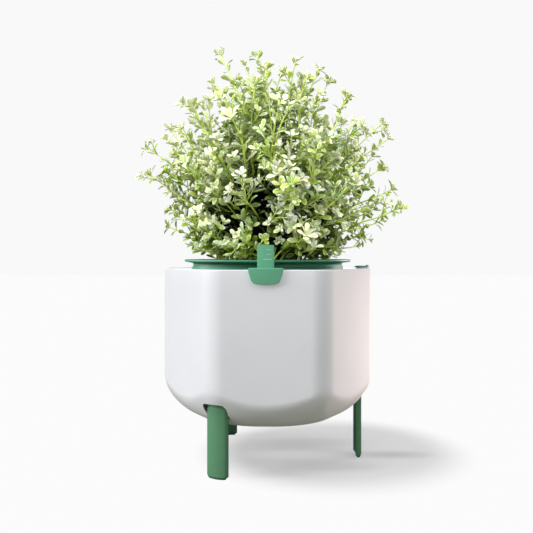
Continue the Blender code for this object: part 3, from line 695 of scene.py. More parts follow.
def leg_ring(half, thick, z, apex=LEG_APEX, grow=0.0, ease=1.0):
    """Plan of a leg at the front: an arc plate, half wide and thick, whose outer face is apex from the axis."""
    cy = -(LEG_APEX - LEG_CURVE)
    ro, ri = LEG_CURVE + grow + (apex - LEG_APEX), LEG_CURVE - thick - grow + (apex - LEG_APEX)
    half += grow
    ao, ai = math.asin((half - ease) / ro), math.asin((half - ease) / ri)
    outer_arc = [(ro * math.sin(a), cy - ro * math.cos(a)) for a in [ao * (-1 + 2 * i / 20) for i in range(21)]]
    inner_arc = [(ri * math.sin(a), cy - ri * math.cos(a)) for a in [ai * (1 - 2 * i / 14) for i in range(15)]]
    eo, ei = cy - math.sqrt(ro * ro - half * half), cy - math.sqrt(ri * ri - half * half)
    right = []
    for k in range(1, 5):
        t = math.pi / 2 * k / 5
        right.append((half - ease * (1 - math.sin(t)), eo + ease * (1 - math.cos(t)) * 0.9))
    for k in range(1, 5):
        t = math.pi / 2 * k / 5
        right.append((half - ease * (1 - math.cos(t)), ei - ease * (1 - math.sin(t)) * 0.9))
    left = [(-x, y) for x, y in reversed(right)]
    return [(x, y, z) for x, y in outer_arc + right + inner_arc + left]


def mouth_ring(grow, z):
    """Plan of the mouth of a pocket, which stands further out in front of the leg than the pocket above it."""
    cy = -(LEG_APEX - LEG_CURVE) - MOUTH_OUT
    ro, half = LEG_CURVE + POCKET_GAP + grow, LEG_HALF + POCKET_GAP + 0.5
    a0 = math.asin((half - 1.4) / ro)
    arc = [(ro * math.sin(a), cy - ro * math.cos(a), z) for a in [a0 * (-1 + 2 * i / 20) for i in range(21)]]
    edge = cy - ro * math.cos(math.asin(half / ro))
    ease = [(half - 1.4 * (1 - math.sin(t)), edge + 1.4 * (1 - math.cos(t)) - 0.12 * math.cos(t), z) for t in (0.5, 0.9, 1.25)]
    right = ease + [(half, edge + 1.5, z), (half, -88.3, z)]
    return arc + right + [(-x, y, z) for x, y, z in reversed(right)]


steps = []
for side, angle in LEG_ANGLES.items():
    boss = block("boss", (-BOSS_HALF, -FLAT - 30, FLOOR_Z - 12), (BOSS_HALF, -BOSS_IN, BOSS_TOP), edge=2.0)
    steps.append((spin(boss, angle), "DIFFERENCE"))
join_cut(cavity, steps)
steps = [(cavity, "DIFFERENCE")]
for side, angle in LEG_ANGLES.items():
    pocket = lofted("pocket", [leg_ring(LEG_HALF, LEG_T, z, grow=POCKET_GAP) for z in (20.0, POCKET_TOP)])
    steps.append((spin(pocket, angle), "DIFFERENCE"))
    mouth = lofted("mouth", [mouth_ring(0.0, 20.3), mouth_ring(0.0, MOUTH_TOP - 1.0), mouth_ring(-0.4, MOUTH_TOP)])
    steps.append((spin(mouth, angle), "DIFFERENCE"))
join_cut(bowl, steps)
tidy(bowl, 38)
# painted shade: faces inside the leg pockets, at the heights of the mouths, are marked for the near-black pocket colour
pocket_painted_shade = np.zeros(len(bowl.data.polygons), np.float32)
for i, poly in enumerate(bowl.data.polygons):
    c, n = poly.center, poly.normal
    if not (0.05 < abs(n.z) < 0.98) and 0.045 < c.z < 0.0715:
        for angle in LEG_ANGLES.values():
            a = math.radians(-angle)
            x, y = c.x * math.cos(a) - c.y * math.sin(a), c.x * math.sin(a) + c.y * math.cos(a)
            if abs(x) < 11.96 * MM and (-0.0985 if abs(x) < 9 * MM else -0.0945) < y < -0.080:
                pocket_painted_shade[i] = 0.85
bowl.data.attributes.new("pocket_painted_shade", "FLOAT", "FACE").data.foreach_set("value", pocket_painted_shade)
place(bowl, "bowl", "bowl_white", "outer_bowl")

# ---- legs and pads ------------------------------------------------------------------------------------
for side, angle in LEG_ANGLES.items():
    rings = []
    R = 1.2
    for k in range(8):  # rounded lower corners
        t = math.pi / 2 * k / 7
        cut = R * (1 - math.sin(t))
        rings.append(leg_ring(LEG_HALF - cut, LEG_T - 0.6 * (1 - math.sin(t)), LEG_FOOT + R * (1 - math.cos(t)), apex=LEG_APEX - 0.45 * (1 - math.sin(t))))
    for z in (20.0, 40.0, 60.0, LEG_TOP - 1.0):
        rings.append(leg_ring(LEG_HALF, LEG_T, z))
    rings.append(leg_ring(LEG_HALF - 0.7, LEG_T - 1.0, LEG_TOP, apex=LEG_APEX - 0.5))
    leg = spin(lofted("push_in_leg_" + side, rings, LEG), angle)
    place(tidy(leg, 40), "bowl", "leg_green", "leg_" + side)
    pads = [leg_ring(LEG_HALF - R - 0.1 + d, LEG_T - 0.8 + d / 2, z, apex=LEG_APEX - 0.5 + d / 2, ease=0.7) for z, d in ((0.0, -0.9), (0.25, -0.5), (0.6, -0.2), (PAD_T, 0.0))]
    pad = spin(lofted("leg_pad_" + side, pads, PAD), angle)
    place(tidy(pad, 40), "bowl", "pad_rubber", "foot_pad_" + side)

# ---- riser ring --------------------------------------------------------------------------------------
RISER_TOP = POT_FLOOR - 0.3
profile = rounded(
    [(50.2, RISER_TOP), (58.0, RISER_TOP), (58.0, RISER_TOP - 1.8), (54.2, RISER_TOP - 2.0), (54.2, FLOOR_Z + 0.3), (52.0, FLOOR_Z + 0.3), (52.0, RISER_TOP - 2.0), (50.2, RISER_TOP - 2.0)],
    [0.5, 0.6, 0.5, 1.2, 0.6, 0.6, 0.8, 0.4],
    3,
)
riser = turned("pot_riser", profile, 120, POT)
steps = []
for k in range(3):
    w = plate("w", rounded([(-11, FLOOR_Z + 4), (11, FLOOR_Z + 4), (11, RISER_TOP - 8), (-11, RISER_TOP - 8)], 4.0, 6), -70, 70, turn=UPRIGHT)
    steps.append((spin(w, 60 * k + 30), "DIFFERENCE"))
place(tidy(join_cut(riser, steps)), "bowl", "pot_green", "riser_ring")

# =====================================================================================================
# inner pot, basket, mat, soil
# =====================================================================================================
FLOOR_TOP = POT_FLOOR + 2.2
points = [
    (70.4, POT_TOP),
    (FLANGE_R, POT_TOP),
    (FLANGE_R, POT_TOP - 2.0),
    (COLLAR_R, POT_TOP - 3.5),
    (COLLAR_R, 184.7),
    (STEP_R, 184.4),
    (STEP_R, 178.0),
    (66.2, POT_FLOOR + 2.0),
    (64.6, POT_FLOOR),
    (BASKET_R + 0.4, POT_FLOOR),
    (BASKET_R + 0.4, FLOOR_TOP),
    (63.0, FLOOR_TOP),
    (STEP_R - POT_WALL, 178.0),
    (70.4, 184.2),
]
profile = rounded(points, [0.6, 0.9, 0.9, 1.4, 0.3, 0.45, 1.5, 2.0, 1.2, 0.4, 0.4, 2.0, 3.0, 1.0], 6)
pot = turned("planting_pot", profile, 160, POT)
steps = []
for k in range(8):
    a = math.radians(45 * k + 22.5)
    x, y = 44 * math.sin(a), -44 * math.cos(a)
    steps.append((bar("d", 3.0, (x, y, POT_FLOOR - 6), (x, y, FLOOR_TOP + 6), 24), "DIFFERENCE"))
place(tidy(join_cut(pot, steps)), "inner_pot", "pot_green", "inner_pot")

profile = rounded(
    [
        (17.3, FLOOR_TOP + 1.8),
        (25.0, FLOOR_TOP + 1.8),
        (25.0, FLOOR_TOP + 0.3),
        (BASKET_R, FLOOR_TOP + 0.3),
        (BASKET_R - 1.0, FLOOR_Z + 4.0),
        (BASKET_R - 2.5, FLOOR_Z + 1.8),
        (3.0, FLOOR_Z + 1.8),
        (3.0, FLOOR_Z + 3.6),
        (14.6, FLOOR_Z + 3.6),
        (16.2, FLOOR_Z + 5.0),
    ],
    [0.5, 0.6, 0.5, 0.6, 1.2, 1.0, 0.5, 0.5, 0.8, 0.8],
    3,
)
basket = turned("wick_basket", profile, 96, POT)
steps = []
for k in range(4):
    steps.append((spin(block("s", (-1.5, -30, FLOOR_Z + 7), (1.5, 30, POT_FLOOR - 6), edge=0.0), 45 * k + 22.5), "DIFFERENCE"))
place(tidy(join_cut(basket, steps)), "inner_pot", "pot_green", "wicking_basket")

profile = rounded([(25.6, FLOOR_TOP + 2.3), (61.6, FLOOR_TOP + 2.3), (61.6, FLOOR_TOP + 0.3), (25.6, FLOOR_TOP + 0.3)], 0.7, 3)
mat_piece = turned("felt_mat", profile, 128, FELT)
bm = bmesh.new()
bm.from_mesh(mat_piece.data)
for v in bm.verts:
    v.co += v.co.normalized() * 0.0
    v.co.z += 0.00012 * (noise.noise(v.co * 400) if v.co.z > (FLOOR_TOP + 1.5) * MM else 0.0)
bm.to_mesh(mat_piece.data)
bm.free()
place(tidy(mat_piece), "inner_pot", "mat_felt", "capillary_mat")

# soil: a turned body whose top is broken up, and loose crumbs on it
rnd = random.Random(11)
top = [(0.0, SOIL_TOP - 1.2)] + [(r, SOIL_TOP - 1.2 - 0.0006 * r * r) for r in [69.6 * k / 34 for k in range(1, 35)]]
body = [(70.6, 182.0), (70.8, 178.0), (63.7, FLOOR_TOP + 4.0), (62.4, FLOOR_TOP + 2.6), (16.8, FLOOR_TOP + 2.6), (15.7, FLOOR_Z + 6.2), (14.2, FLOOR_Z + 4.0), (0.0, FLOOR_Z + 4.0)]
soil = turned("potting_mix", top + body, 150, SOIL)
for v in soil.data.vertices:
    r = math.hypot(v.co.x, v.co.y) / MM
    if v.co.z > 0.1825 and r < 69.7:
        fade = min(1.0, (70.0 - r) / 4.0)
        p = v.co * 1000
        h = 0.9 * noise.noise(p * 0.16) + 0.7 * noise.noise(p * 0.42 + Vector((7, 3, 1))) + 0.45 * noise.noise(p * 1.1)
        v.co.z += max(-1.1, min(1.1, h)) * fade * MM
place(tidy(soil, 60), "inner_pot", "soil_brown", "soil")


def crumbs(name, count, seed):
    rr = random.Random(seed)
    bm = bmesh.new()
    for k in range(count):
        r = 67.0 * math.sqrt(rr.random())
        a = rr.uniform(0, 2 * math.pi)
        s = rr.uniform(0.5, 1.7) * (1.0 if rr.random() < 0.8 else 1.3)
        z = SOIL_TOP - 1.4 - 0.0006 * r * r + 0.25 * s
        m = Matrix.Translation((r * math.cos(a) * MM, r * math.sin(a) * MM, z * MM)) @ Matrix.Rotation(rr.uniform(0, 6), 4, (rr.random(), rr.random(), 1)) @ Matrix.Diagonal((s * rr.uniform(0.7, 1.4), s * rr.uniform(0.7, 1.2), s * rr.uniform(0.5, 0.9), 1.0))
        ret = bmesh.ops.create_icosphere(bm, subdivisions=2, radius=1.0)
        for v in ret["verts"]:
            d = 1 + 0.22 * noise.noise(v.co * 1.7 + Vector((k * 3.1, k * 1.7, 0)))
            q = v.co * d
            v.co = Vector((m[0][0] * q.x + m[0][1] * q.y + m[0][2] * q.z, m[1][0] * q.x + m[1][1] * q.y + m[1][2] * q.z, m[2][0] * q.x + m[2][1] * q.y + m[2][2] * q.z)) * MM + m.translation
    o = obj_from(name, mesh_from_bm(name, bm, False), SOIL)
    return o


place(tidy(crumbs("soil_crumbs", 420, 5), 60, 1e-9), "inner_pot", "soil_brown")

# =====================================================================================================
# water gauge
# =====================================================================================================
TAB_HIGH, TAB_LOW = 184.5, 170.2
outline = rounded([(CLIP_HALF, TAB_HIGH), (14.85, 181.2), (11.7, 170.9), (0.0, TAB_LOW), (-11.7, 170.9), (-14.85, 181.2), (-CLIP_HALF, TAB_HIGH)], [0.0, 9.0, 5.6, 40.0, 5.6, 9.0, 0.0], 9)
outline = [(GX + x, z) for x, z in outline]
clip = plate("gauge_rim_clip", outline, 90.35, 92.6, GAUGE, turn=UPRIGHT, edge=0.55, segments=4)
bridge = block("bridge", (GX - CLIP_HALF + 0.02, -92.55, RIM_Z + 0.3), (GX + CLIP_HALF - 0.02, -81.5, TAB_HIGH + 0.02), edge=0.45, segments=3)
channel = block("channel", (GX - 10.0, -86.7, CASSETTE_BOTTOM), (GX + 10.0, -82.7, RIM_Z + 0.8), edge=0.3, segments=2)
groove = block("groove", (GX - STICK_HALF - 0.4, STICK_Y - STICK_T - 0.4, CASSETTE_BOTTOM - 5), (GX + STICK_HALF + 0.4, STICK_Y + 0.4, RIM_Z + 5))
back_groove = block("back_groove", (GX - STICK_HALF - 0.4, STICK_Y - 0.5, CASSETTE_BOTTOM - 5), (GX + STICK_HALF + 0.4, -80.0, RIM_Z - 0.3))
join_cut(clip, [(bridge, "UNION"), (channel, "UNION"), (groove, "DIFFERENCE"), (back_groove, "DIFFERENCE")])
place(tidy(clip, 40), "bowl", "gauge_green", "gauge_clip")

cover = block("gauge_cover", (GX - 10.0, -82.4, CASSETTE_BOTTOM), (GX + 10.0, -81.2, RIM_Z - 0.1), GAUGE, edge=0.3, segments=3)
steps = []
for z in (118.0, 138.0, 158.0):
    steps.append((plate("w", rounded([(GX - 3, z), (GX + 3, z), (GX + 3, z + 13), (GX - 3, z + 13)], 1.4, 5), 70, 95, turn=UPRIGHT), "DIFFERENCE"))
place(tidy(join_cut(cover, steps)), "bowl", "gauge_green", "gauge_rear_cover")

stick = block("gauge_dipstick", (GX - STICK_HALF, STICK_Y - STICK_T, STICK_FOOT), (GX + STICK_HALF, STICK_Y, STICK_TOP), GAUGE, edge=0.32, segments=4)
ledge = block("ledge", (GX - STICK_HALF + 0.05, STICK_Y - STICK_T / 2, STICK_FOOT + 0.3), (GX + STICK_HALF - 0.05, -73.0, STICK_FOOT + 1.6), edge=0.3)
PIN_Z = 95.5
join_cut(stick, [(ledge, "UNION"), (bar("h", 1.5, (GX, -90, PIN_Z), (GX, -80, PIN_Z), 32), "DIFFERENCE")])
place(tidy(stick, 40), "gauge_float", "gauge_green", "gauge_stick")

flt = block("float_block", (GX - 12.0, STICK_Y + 0.3, STICK_FOOT + 1.9), (GX + 12.0, -72.0, STICK_FOOT + 14.9), FOAM, edge=1.5, segments=5)
join_cut(flt, [(bar("h", 1.5, (GX, -86, PIN_Z), (GX, -75.5, PIN_Z), 32), "DIFFERENCE")])
place(tidy(flt, 40), "gauge_float", "float_foam", "gauge_float")
pin = bar("float_pin", 1.2, (GX, -84.9, PIN_Z), (GX, -76.0, PIN_Z), 32, POT, edge=0.25)
place(tidy(pin, 40), "gauge_float", "pot_green", "gauge_float_pin")

# white level lines: raised print on the stick's face
bm = bmesh.new()
for z, a, b, c, d, t in (
    (200.4, 0.9, 3.2, 4.1, 4.9, 0.55),
    (196.2, 0.9, 3.2, 4.1, 4.9, 0.55),
    (191.9, -1.9, 3.0, 3.6, 5.3, 0.75),
):
    for x0, x1 in ((a, b), (c, d)):
        bmesh.ops.create_cube(
            bm,
            size=1.0,
            matrix=Matrix.Translation(Vector((GX + (x0 + x1) / 2, STICK_Y - STICK_T - 0.05, z)) * MM) @ Matrix.Diagonal(((x1 - x0) * MM, 0.3 * MM, t * MM, 1.0)),
        )
ticks = obj_from("gauge_level_lines", mesh_from_bm("ticks", bm), TICK)
place(tidy(ticks, 30), "gauge_float", "gauge_green")


# =====================================================================================================
# filling port
# =====================================================================================================
def oval(cx, rx, ry, power=2.0, count=72):
    out = []
    for i in range(count):
        a = 2 * math.pi * i / count
        c, s = math.cos(a), math.sin(a)
        out.append((cx + rx * math.copysign(abs(c) ** (2 / power), c), ry * math.copysign(abs(s) ** (2 / power), s)))
    return out


neck = plate("port_neck", oval(PORT_X, 4.5, 11.0), 105.0, RIM_Z + 0.6, BOWL, edge=0.3)
lip = plate("lip", oval(92.5, 5.7, 12.5, 2.6), RIM_Z + 0.3, 183.95, edge=0.2)
steps = [(lip, "UNION")]
for y in (-1, 1):
    lo_y, hi_y = min(y * 3.2, y * 5.0), max(y * 3.2, y * 5.0)
    ear = plate("ear", rounded([(HINGE_X - 0.85, 183.5), (HINGE_X + 0.85, 183.5), (HINGE_X + 0.85, HINGE_Z + 0.8), (HINGE_X - 0.85, HINGE_Z + 0.8)], [0, 0, 0.8, 0.8], 5), -hi_y, -lo_y, turn=UPRIGHT, edge=0.12, segments=2)
    steps.append((ear, "UNION"))
steps.append((plate("bore", oval(PORT_X, 3.4, 9.9), 90.0, 195.0), "DIFFERENCE"))
steps.append((bar("eh", 0.5, (HINGE_X, -8, HINGE_Z), (HINGE_X, 8, HINGE_Z), 24), "DIFFERENCE"))
place(tidy(join_cut(neck, steps), 40), "bowl", "bowl_white", "filler_neck")

cap = plate("port_cap", oval(92.3, 5.4, 12.0, 2.6), 184.3, 185.02, CAPM, edge=0.22)
tab = plate("tab", rounded([(89.5, 184.94), (87.4, 184.94), (85.6, 184.4), (85.3, 183.6), (86.0, 183.5), (86.4, 183.95), (87.5, 184.38), (89.5, 184.38)], [0, 1.2, 0.7, 0.3, 0.3, 0.5, 0.8, 0], 4), -6.0, 6.0, turn=UPRIGHT, edge=0.2)
relief = block("relief", (HINGE_X - 1.3, -14, 183), (HINGE_X + 3, 14, 188))
web = block("web", (HINGE_X - 2.2, -2.7, 184.42), (HINGE_X - 0.2, 2.7, 184.94))
knuckle = bar("knuckle", 0.85, (HINGE_X, -2.9, HINGE_Z), (HINGE_X, 2.9, HINGE_Z), 32, edge=0.1)
hole = bar("kh", 0.5, (HINGE_X, -8, HINGE_Z), (HINGE_X, 8, HINGE_Z), 24)
join_cut(cap, [(tab, "UNION"), (relief, "DIFFERENCE"), (web, "UNION"), (knuckle, "UNION"), (hole, "DIFFERENCE")])
place(tidy(cap, 40), "filler_cap", "gauge_green", "filler_cap")
pin = bar("cap_hinge_pin", 0.35, (HINGE_X, -4.9, HINGE_Z), (HINGE_X, 4.9, HINGE_Z), 24, STEEL, edge=0.08)
place(tidy(pin, 40), "bowl", "pin_steel", "filler_hinge_pin")

# =====================================================================================================
# plant
# =====================================================================================================
rnd = random.Random(23)
LEFT = [(188, 60), (200, 70), (208, 80), (221, 99), (240, 103), (256, 106), (275, 116), (300, 121), (312, 116), (325, 97), (340, 91), (350, 80), (362, 62), (375, 52), (390, 46), (399, 10)]
RIGHT = [(188, 60), (196, 74), (207, 96), (219, 106), (231, 122), (243, 125), (262, 122), (280, 117), (294, 112), (310, 120), (326, 112), (338, 98), (350, 84), (362, 74), (377, 60), (390, 30), (399, 8)]


def along(table, z):
    if z <= table[0][0]:
        return table[0][1]
    for (z0, r0), (z1, r1) in zip(table, table[1:]):
        if z <= z1:
            return r0 + (r1 - r0) * (z - z0) / (z1 - z0)
    return table[-1][1]


def reach(x, y, z):
    """Radius of the crown at a height, on the side that (x, y) is on."""
    r = math.hypot(x, y) + 1e-6
    w = 0.5 - 0.5 * x / r
    return w * along(LEFT, z) + (1 - w) * along(RIGHT, z)


def openness(p):
    """0 deep in the low middle of the crown, 1 at its outside and in its upper part. The leaf and stem colours are
    darkened by it as painted shade.
    """
    r = math.hypot(p.x, p.y)
    core = math.sqrt((r / 72) ** 2 + ((p.z - 222) / (72 if p.z > 222 else 42)) ** 2)
    q = max(0.0, min(1.0, (core - 0.56) / 0.52))
    side = r / reach(p.x, p.y, p.z)
    upper = (p.z - 300) / (PLANT_TOP - 300)
    shell = max(0.0, min(1.0, (max(side, upper) - 0.20) / 0.5))
    return q * q * (3 - 2 * q) * (0.55 + 0.45 * shell)


leaves = []  # (origin, direction, normal, length, width, bend, cup, variegation, chance, open)
stems = []  # (points, radius0, radius1, age0, age1)


def frame_along(points):
    """Tangents and a side vector carried along a curve without twist."""
    tangents, sides = [], []
    n = len(points)
    for i in range(n):
        t = (points[min(i + 1, n - 1)] - points[max(i - 1, 0)]).normalized()
        tangents.append(t)
    side = tangents[0].orthogonal().normalized()
    for i in range(n):
        side = (side - tangents[i] * side.dot(tangents[i])).normalized()
        sides.append(side.copy())
    return tangents, sides


def bezier(p0, p1, p2, p3, count):
    out = []
    for i in range(count):
        t = i / (count - 1)
        u = 1 - t
        out.append(p0 * u**3 + p1 * (3 * u * u * t) + p2 * (3 * u * t * t) + p3 * t**3)
    return out


def leaf(origin, direction, normal, length, ratio, var):
    p = origin + direction * length * 0.6
    roll = rnd.gauss(0, 0.35)
    side = direction.cross(normal).normalized()
    n = (normal * math.cos(roll) + side * math.sin(roll)).normalized()
    leaves.append((origin, direction, n, length, length * ratio, rnd.gauss(-0.12, 0.18), rnd.uniform(0.10, 0.45), var, rnd.random(), openness(p)))


def dress(points, first, spacing, size, var0, var1, tip_count, ratio=0.48, angle0=64, angle1=42, shoots=0.0, depth=0, open_tip=False):
    """Leaves in crossed pairs along a stem, a rosette at its tip, and side shoots."""
    tangents, sides = frame_along(points)
    lengths = [0.0]
    for a, b in zip(points, points[1:]):
        lengths.append(lengths[-1] + (b - a).length)
    total = lengths[-1]

    def at(s):
        s = max(0.0, min(total, s))
        for i in range(1, len(lengths)):
            if s <= lengths[i]:
                f = (s - lengths[i - 1]) / max(lengths[i] - lengths[i - 1], 1e-9)
                return points[i - 1].lerp(points[i], f), tangents[i - 1].lerp(tangents[i], f).normalized(), sides[i - 1].lerp(sides[i], f).normalized()
        return points[-1], tangents[-1], sides[-1]

    spin0 = rnd.uniform(0, math.pi)
    s = total * first
    k = 0
    while s < total - spacing * 0.35:
        f = (s / total - first) / (1 - first)
        p, t, side = at(s)
        other = t.cross(side)
        turn = spin0 + k * math.pi / 2 + rnd.gauss(0, 0.28)
        b = side * math.cos(turn) + other * math.sin(turn)
        here = size * (0.80 + 0.32 * math.sin(math.pi * min(1.0, f + 0.15))) * rnd.uniform(0.82, 1.14)
        var = var0 + (var1 - var0) * f**1.2 + rnd.gauss(0, 0.09)
        for sign in (1, -1):
            if rnd.random() < 0.07:
                continue
            a = math.radians(angle0 + (angle1 - angle0) * f + rnd.gauss(0, 10))
            d = (t * math.cos(a) + b * sign * math.sin(a)).normalized()
            d = (d + Vector((0, 0, 0.16 * rnd.random()))).normalized()
            n = (t - d * t.dot(d)).normalized()
            leaf(p, d, n, here * rnd.uniform(0.90, 1.08), ratio * rnd.uniform(0.86, 1.10), var + rnd.gauss(0, 0.04))
        if shoots and depth == 0 and 0.10 < f < 0.88 and rnd.random() < shoots:
            sign = rnd.choice((-1, 1))
            c = side * math.cos(turn + 1.57) + other * math.sin(turn + 1.57)
            d = (t * rnd.uniform(0.55, 0.90) + c * sign * 0.80 + Vector((0, 0, 0.18))).normalized()
            ln = rnd.uniform(14, 30) * (1.05 - 0.45 * f)
            end = p + d * ln
            bend = (d + t * 0.6 + Vector((0, 0, 0.30))).normalized()
            sub = bezier(p, p + d * ln * 0.4, end - bend * ln * 0.25, end, 6)
            stems.append((sub, 0.55, 0.36, 0.6, 1.0))
            dress(sub, 0.30, spacing * 0.82, size * 0.88, var0 + 0.08, var1 + 0.04, 5, ratio, 56, 38, 0.0, 1)
        s += spacing * rnd.uniform(0.85, 1.18)
        k += 1
    # rosette at the tip: young leaves
    p, t, side = at(total)
    other = t.cross(side)
    base = rnd.uniform(0, 6)
    for i in range(tip_count):
        turn = base + 2 * math.pi * i / tip_count + rnd.gauss(0, 0.14)
        b = side * math.cos(turn) + other * math.sin(turn)
        ring = i % 2
        a = math.radians(((66, 42) if open_tip else (46, 26))[ring] + rnd.gauss(0, 7))
        d = (t * math.cos(a) + b * math.sin(a)).normalized()
        n = (t - d * t.dot(d)).normalized()
        young = size * (rnd.uniform(0.82, 1.05) if open_tip else rnd.uniform(0.55, 0.82))
        leaf(p - t * (1.2 + ring), d, n, young * (1.0 if ring == 0 else 0.78), ratio * rnd.uniform(0.92, 1.12), var1 + 0.08 + rnd.gauss(0, 0.05))


def sprig(tip, var0, var1, size=11.0, spacing=8.0, first=0.36, tip_count=6, shoots=0.34, lift=None, ratio=0.46, root=None, angle0=64, angle1=42, open_tip=False, sway=1.0, thick=1.0):
    r = math.hypot(tip.x, tip.y)
    out = Vector((tip.x, tip.y, 0)) / max(r, 1e-6)
    around = rnd.uniform(-0.7, 0.7)
    c, s = math.cos(around), math.sin(around)
    b = Vector((out.x * c - out.y * s, out.x * s + out.y * c, 0)) * (rnd.uniform(4, 30) if root is None else root)
    base = Vector((b.x, b.y, SOIL_TOP - 3.0))
    d = tip - base
    far = d.length
    elev = math.atan2(d.z, math.hypot(d.x, d.y))
    e = elev * 0.62 + 0.16 if lift is None else lift
    e = min(e, 1.5) + rnd.gauss(0, 0.14)
    turn = rnd.gauss(0, 0.40) * sway
    last = (out * math.cos(e) + Vector((0, 0, 1)) * math.sin(e)).normalized()
    last = Vector((last.x * math.cos(turn) - last.y * math.sin(turn), last.x * math.sin(turn) + last.y * math.cos(turn), last.z))
    w1 = Vector((rnd.gauss(0, 1), rnd.gauss(0, 1), rnd.gauss(0, 0.3))) * far * 0.09 * sway
    w2 = Vector((rnd.gauss(0, 1), rnd.gauss(0, 1), rnd.gauss(0, 0.6))) * far * 0.05 * sway
    p1 = base + Vector((out.x * 0.35, out.y * 0.35, 1.0)).normalized() * far * 0.38 + w1
    p2 = tip - last * far * 0.36 + w2
    pts = bezier(base, p1, p2, tip, max(10, int(far / 6)))
    stems.append((pts, 1.05 * thick, 0.50 * thick, 0.30, 0.95))
    dress(pts, first, spacing, size, var0, var1, tip_count, ratio, angle0, angle1, shoots, 0, open_tip)


# sprigs that make the outline, from the lower left round the top to the lower right:
# tip, variegation at the base and tip, size, first leaf along the stem
HERO = [
    ((-66, -34, 200), 0.22, 0.50, 10.5, 0.30),
    ((-74, -20, 212), 0.16, 0.44, 10.5, 0.32),
    ((-95, -16, 223), 0.18, 0.46, 10.0, 0.36),
    ((-84, -34, 232), 0.22, 0.52, 11.0, 0.36),
    ((-94, -8, 240), 0.26, 0.60, 10.5, 0.36),
    ((-92, -24, 257), 0.36, 0.78, 10.5, 0.40),
    ((-113, -14, 273), 0.52, 0.96, 10.5, 0.52),
    ((-80, 12, 284), 0.44, 0.80, 10.0, 0.42),
    ((-117, -8, 300), 0.60, 1.00, 10.5, 0.56),
    ((-88, -6, 318), 0.46, 0.80, 10.5, 0.44),
    ((-98, 14, 322), 0.46, 0.86, 10.0, 0.50),
    ((-82, -12, 342), 0.48, 0.88, 10.0, 0.50),
    ((-64, 6, 344), 0.46, 0.80, 10.0, 0.46),
    ((-52, -10, 362), 0.46, 0.78, 10.0, 0.50),
    ((-47, -4, 391), 0.52, 1.00, 9.5, 0.66),
    ((-33, 8, 366), 0.42, 0.72, 10.5, 0.48),
    ((-22, -8, 380), 0.44, 0.80, 9.5, 0.52),
    ((-12, 0, 391), 0.44, 0.74, 9.5, 0.56),
    ((0, -14, 376), 0.42, 0.70, 10.0, 0.50),
    ((15, -6, 374), 0.34, 0.56, 10.0, 0.54),
    ((33, 0, 368), 0.44, 0.74, 10.0, 0.52),
    ((50, -12, 374), 0.44, 0.76, 9.5, 0.54),
    ((60, 4, 366), 0.46, 0.76, 10.0, 0.50),
    ((76, -10, 349), 0.40, 0.66, 10.0, 0.54),
    ((74, 10, 326), 0.40, 0.66, 10.0, 0.44),
    ((94, 4, 318), 0.46, 0.76, 10.0, 0.48),
    ((110, -12, 322), 0.50, 0.82, 9.5, 0.54),
    ((116, -18, 307), 0.48, 0.80, 10.0, 0.50),
    ((102, -4, 292), 0.44, 0.72, 10.0, 0.46),
    ((108, -30, 278), 0.40, 0.70, 10.0, 0.46),
    ((118, -24, 258), 0.36, 0.60, 9.5, 0.62),
    ((104, -12, 246), 0.34, 0.62, 10.0, 0.44),
    ((121, -50, 240), 0.32, 0.56, 9.5, 0.62),
    ((106, -40, 228), 0.24, 0.50, 10.0, 0.48),
    ((90, -22, 214), 0.22, 0.46, 10.0, 0.44),
    ((84, -34, 204), 0.24, 0.48, 10.5, 0.40),
]
for tip, v0, v1, size, first in HERO:
    high = max(0.0, min(1.0, (tip[2] - 335) / 30))
    sprig(Vector(tip), v0 + 0.08 * high, v1 + 0.06, size * (1.08 + 0.14 * high), first=first, ratio=rnd.uniform(0.38, 0.46), spacing=8.8, angle0=58, angle1=46, shoots=0.36, sway=0.6, tip_count=8, open_tip=rnd.random() < 0.5)

# bright clusters towards the viewer
BRIGHT = [
    ((-25, -76, 264), 0.55, 1.05, 14.0),
    ((-33, -74, 252), 0.50, 0.95, 13.0),
    ((-62, -62, 236), 0.50, 0.95, 13.0),
    ((-56, -66, 222), 0.40, 0.80, 13.0),
    ((-44, -64, 300), 0.50, 0.95, 13.0),
    ((-58, -50, 284), 0.50, 0.90, 12.5),
    ((20, -74, 280), 0.55, 1.00, 14.0),
    ((10, -84, 266), 0.55, 1.00, 14.0),
    ((30, -78, 262), 0.50, 0.95, 13.5),
    ((10, -80, 238), 0.50, 1.00, 12.5),
    ((22, -78, 222), 0.40, 0.80, 12.5),
    ((56, -64, 252), 0.50, 0.98, 13.5),
    ((62, -62, 232), 0.45, 0.85, 13.0),
    ((34, -80, 214), 0.45, 0.92, 14.0),
    ((42, -70, 203), 0.45, 0.92, 14.0),
    ((-26, -84, 213), 0.40, 0.80, 12.5),
    ((64, -50, 286), 0.50, 0.90, 12.5),
    ((80, -52, 264), 0.50, 0.90, 12.5),
    ((8, -50, 318), 0.48, 0.86, 12.5),
    ((34, -56, 308), 0.48, 0.86, 12.5),
    ((-16, -52, 334), 0.44, 0.80, 12.0),
]
for i, (tip, v0, v1, size) in enumerate(BRIGHT):
    sprig(Vector(tip), v0, v1, size * 0.80, first=0.46, tip_count=8, shoots=0.55, ratio=rnd.uniform(0.44, 0.52), spacing=6.8, open_tip=i % 3 != 0)

# a low skirt of sprigs that lean over the pot's edge, all the way round
for k in range(30):
    a = 2 * math.pi * (k + rnd.uniform(-0.35, 0.35)) / 30
    r, z = rnd.uniform(52, 74), rnd.uniform(199, 222)
    v = rnd.uniform(0.14, 0.36)
    sprig(Vector((math.sin(a) * r, -math.cos(a) * r, z)), v, v + rnd.uniform(0.15, 0.45), rnd.uniform(11, 13.5), first=0.24, tip_count=7, shoots=0.30, ratio=rnd.uniform(0.42, 0.52), spacing=8.4, root=rnd.uniform(26, 52), lift=rnd.uniform(0.0, 0.5), open_tip=rnd.random() < 0.5)

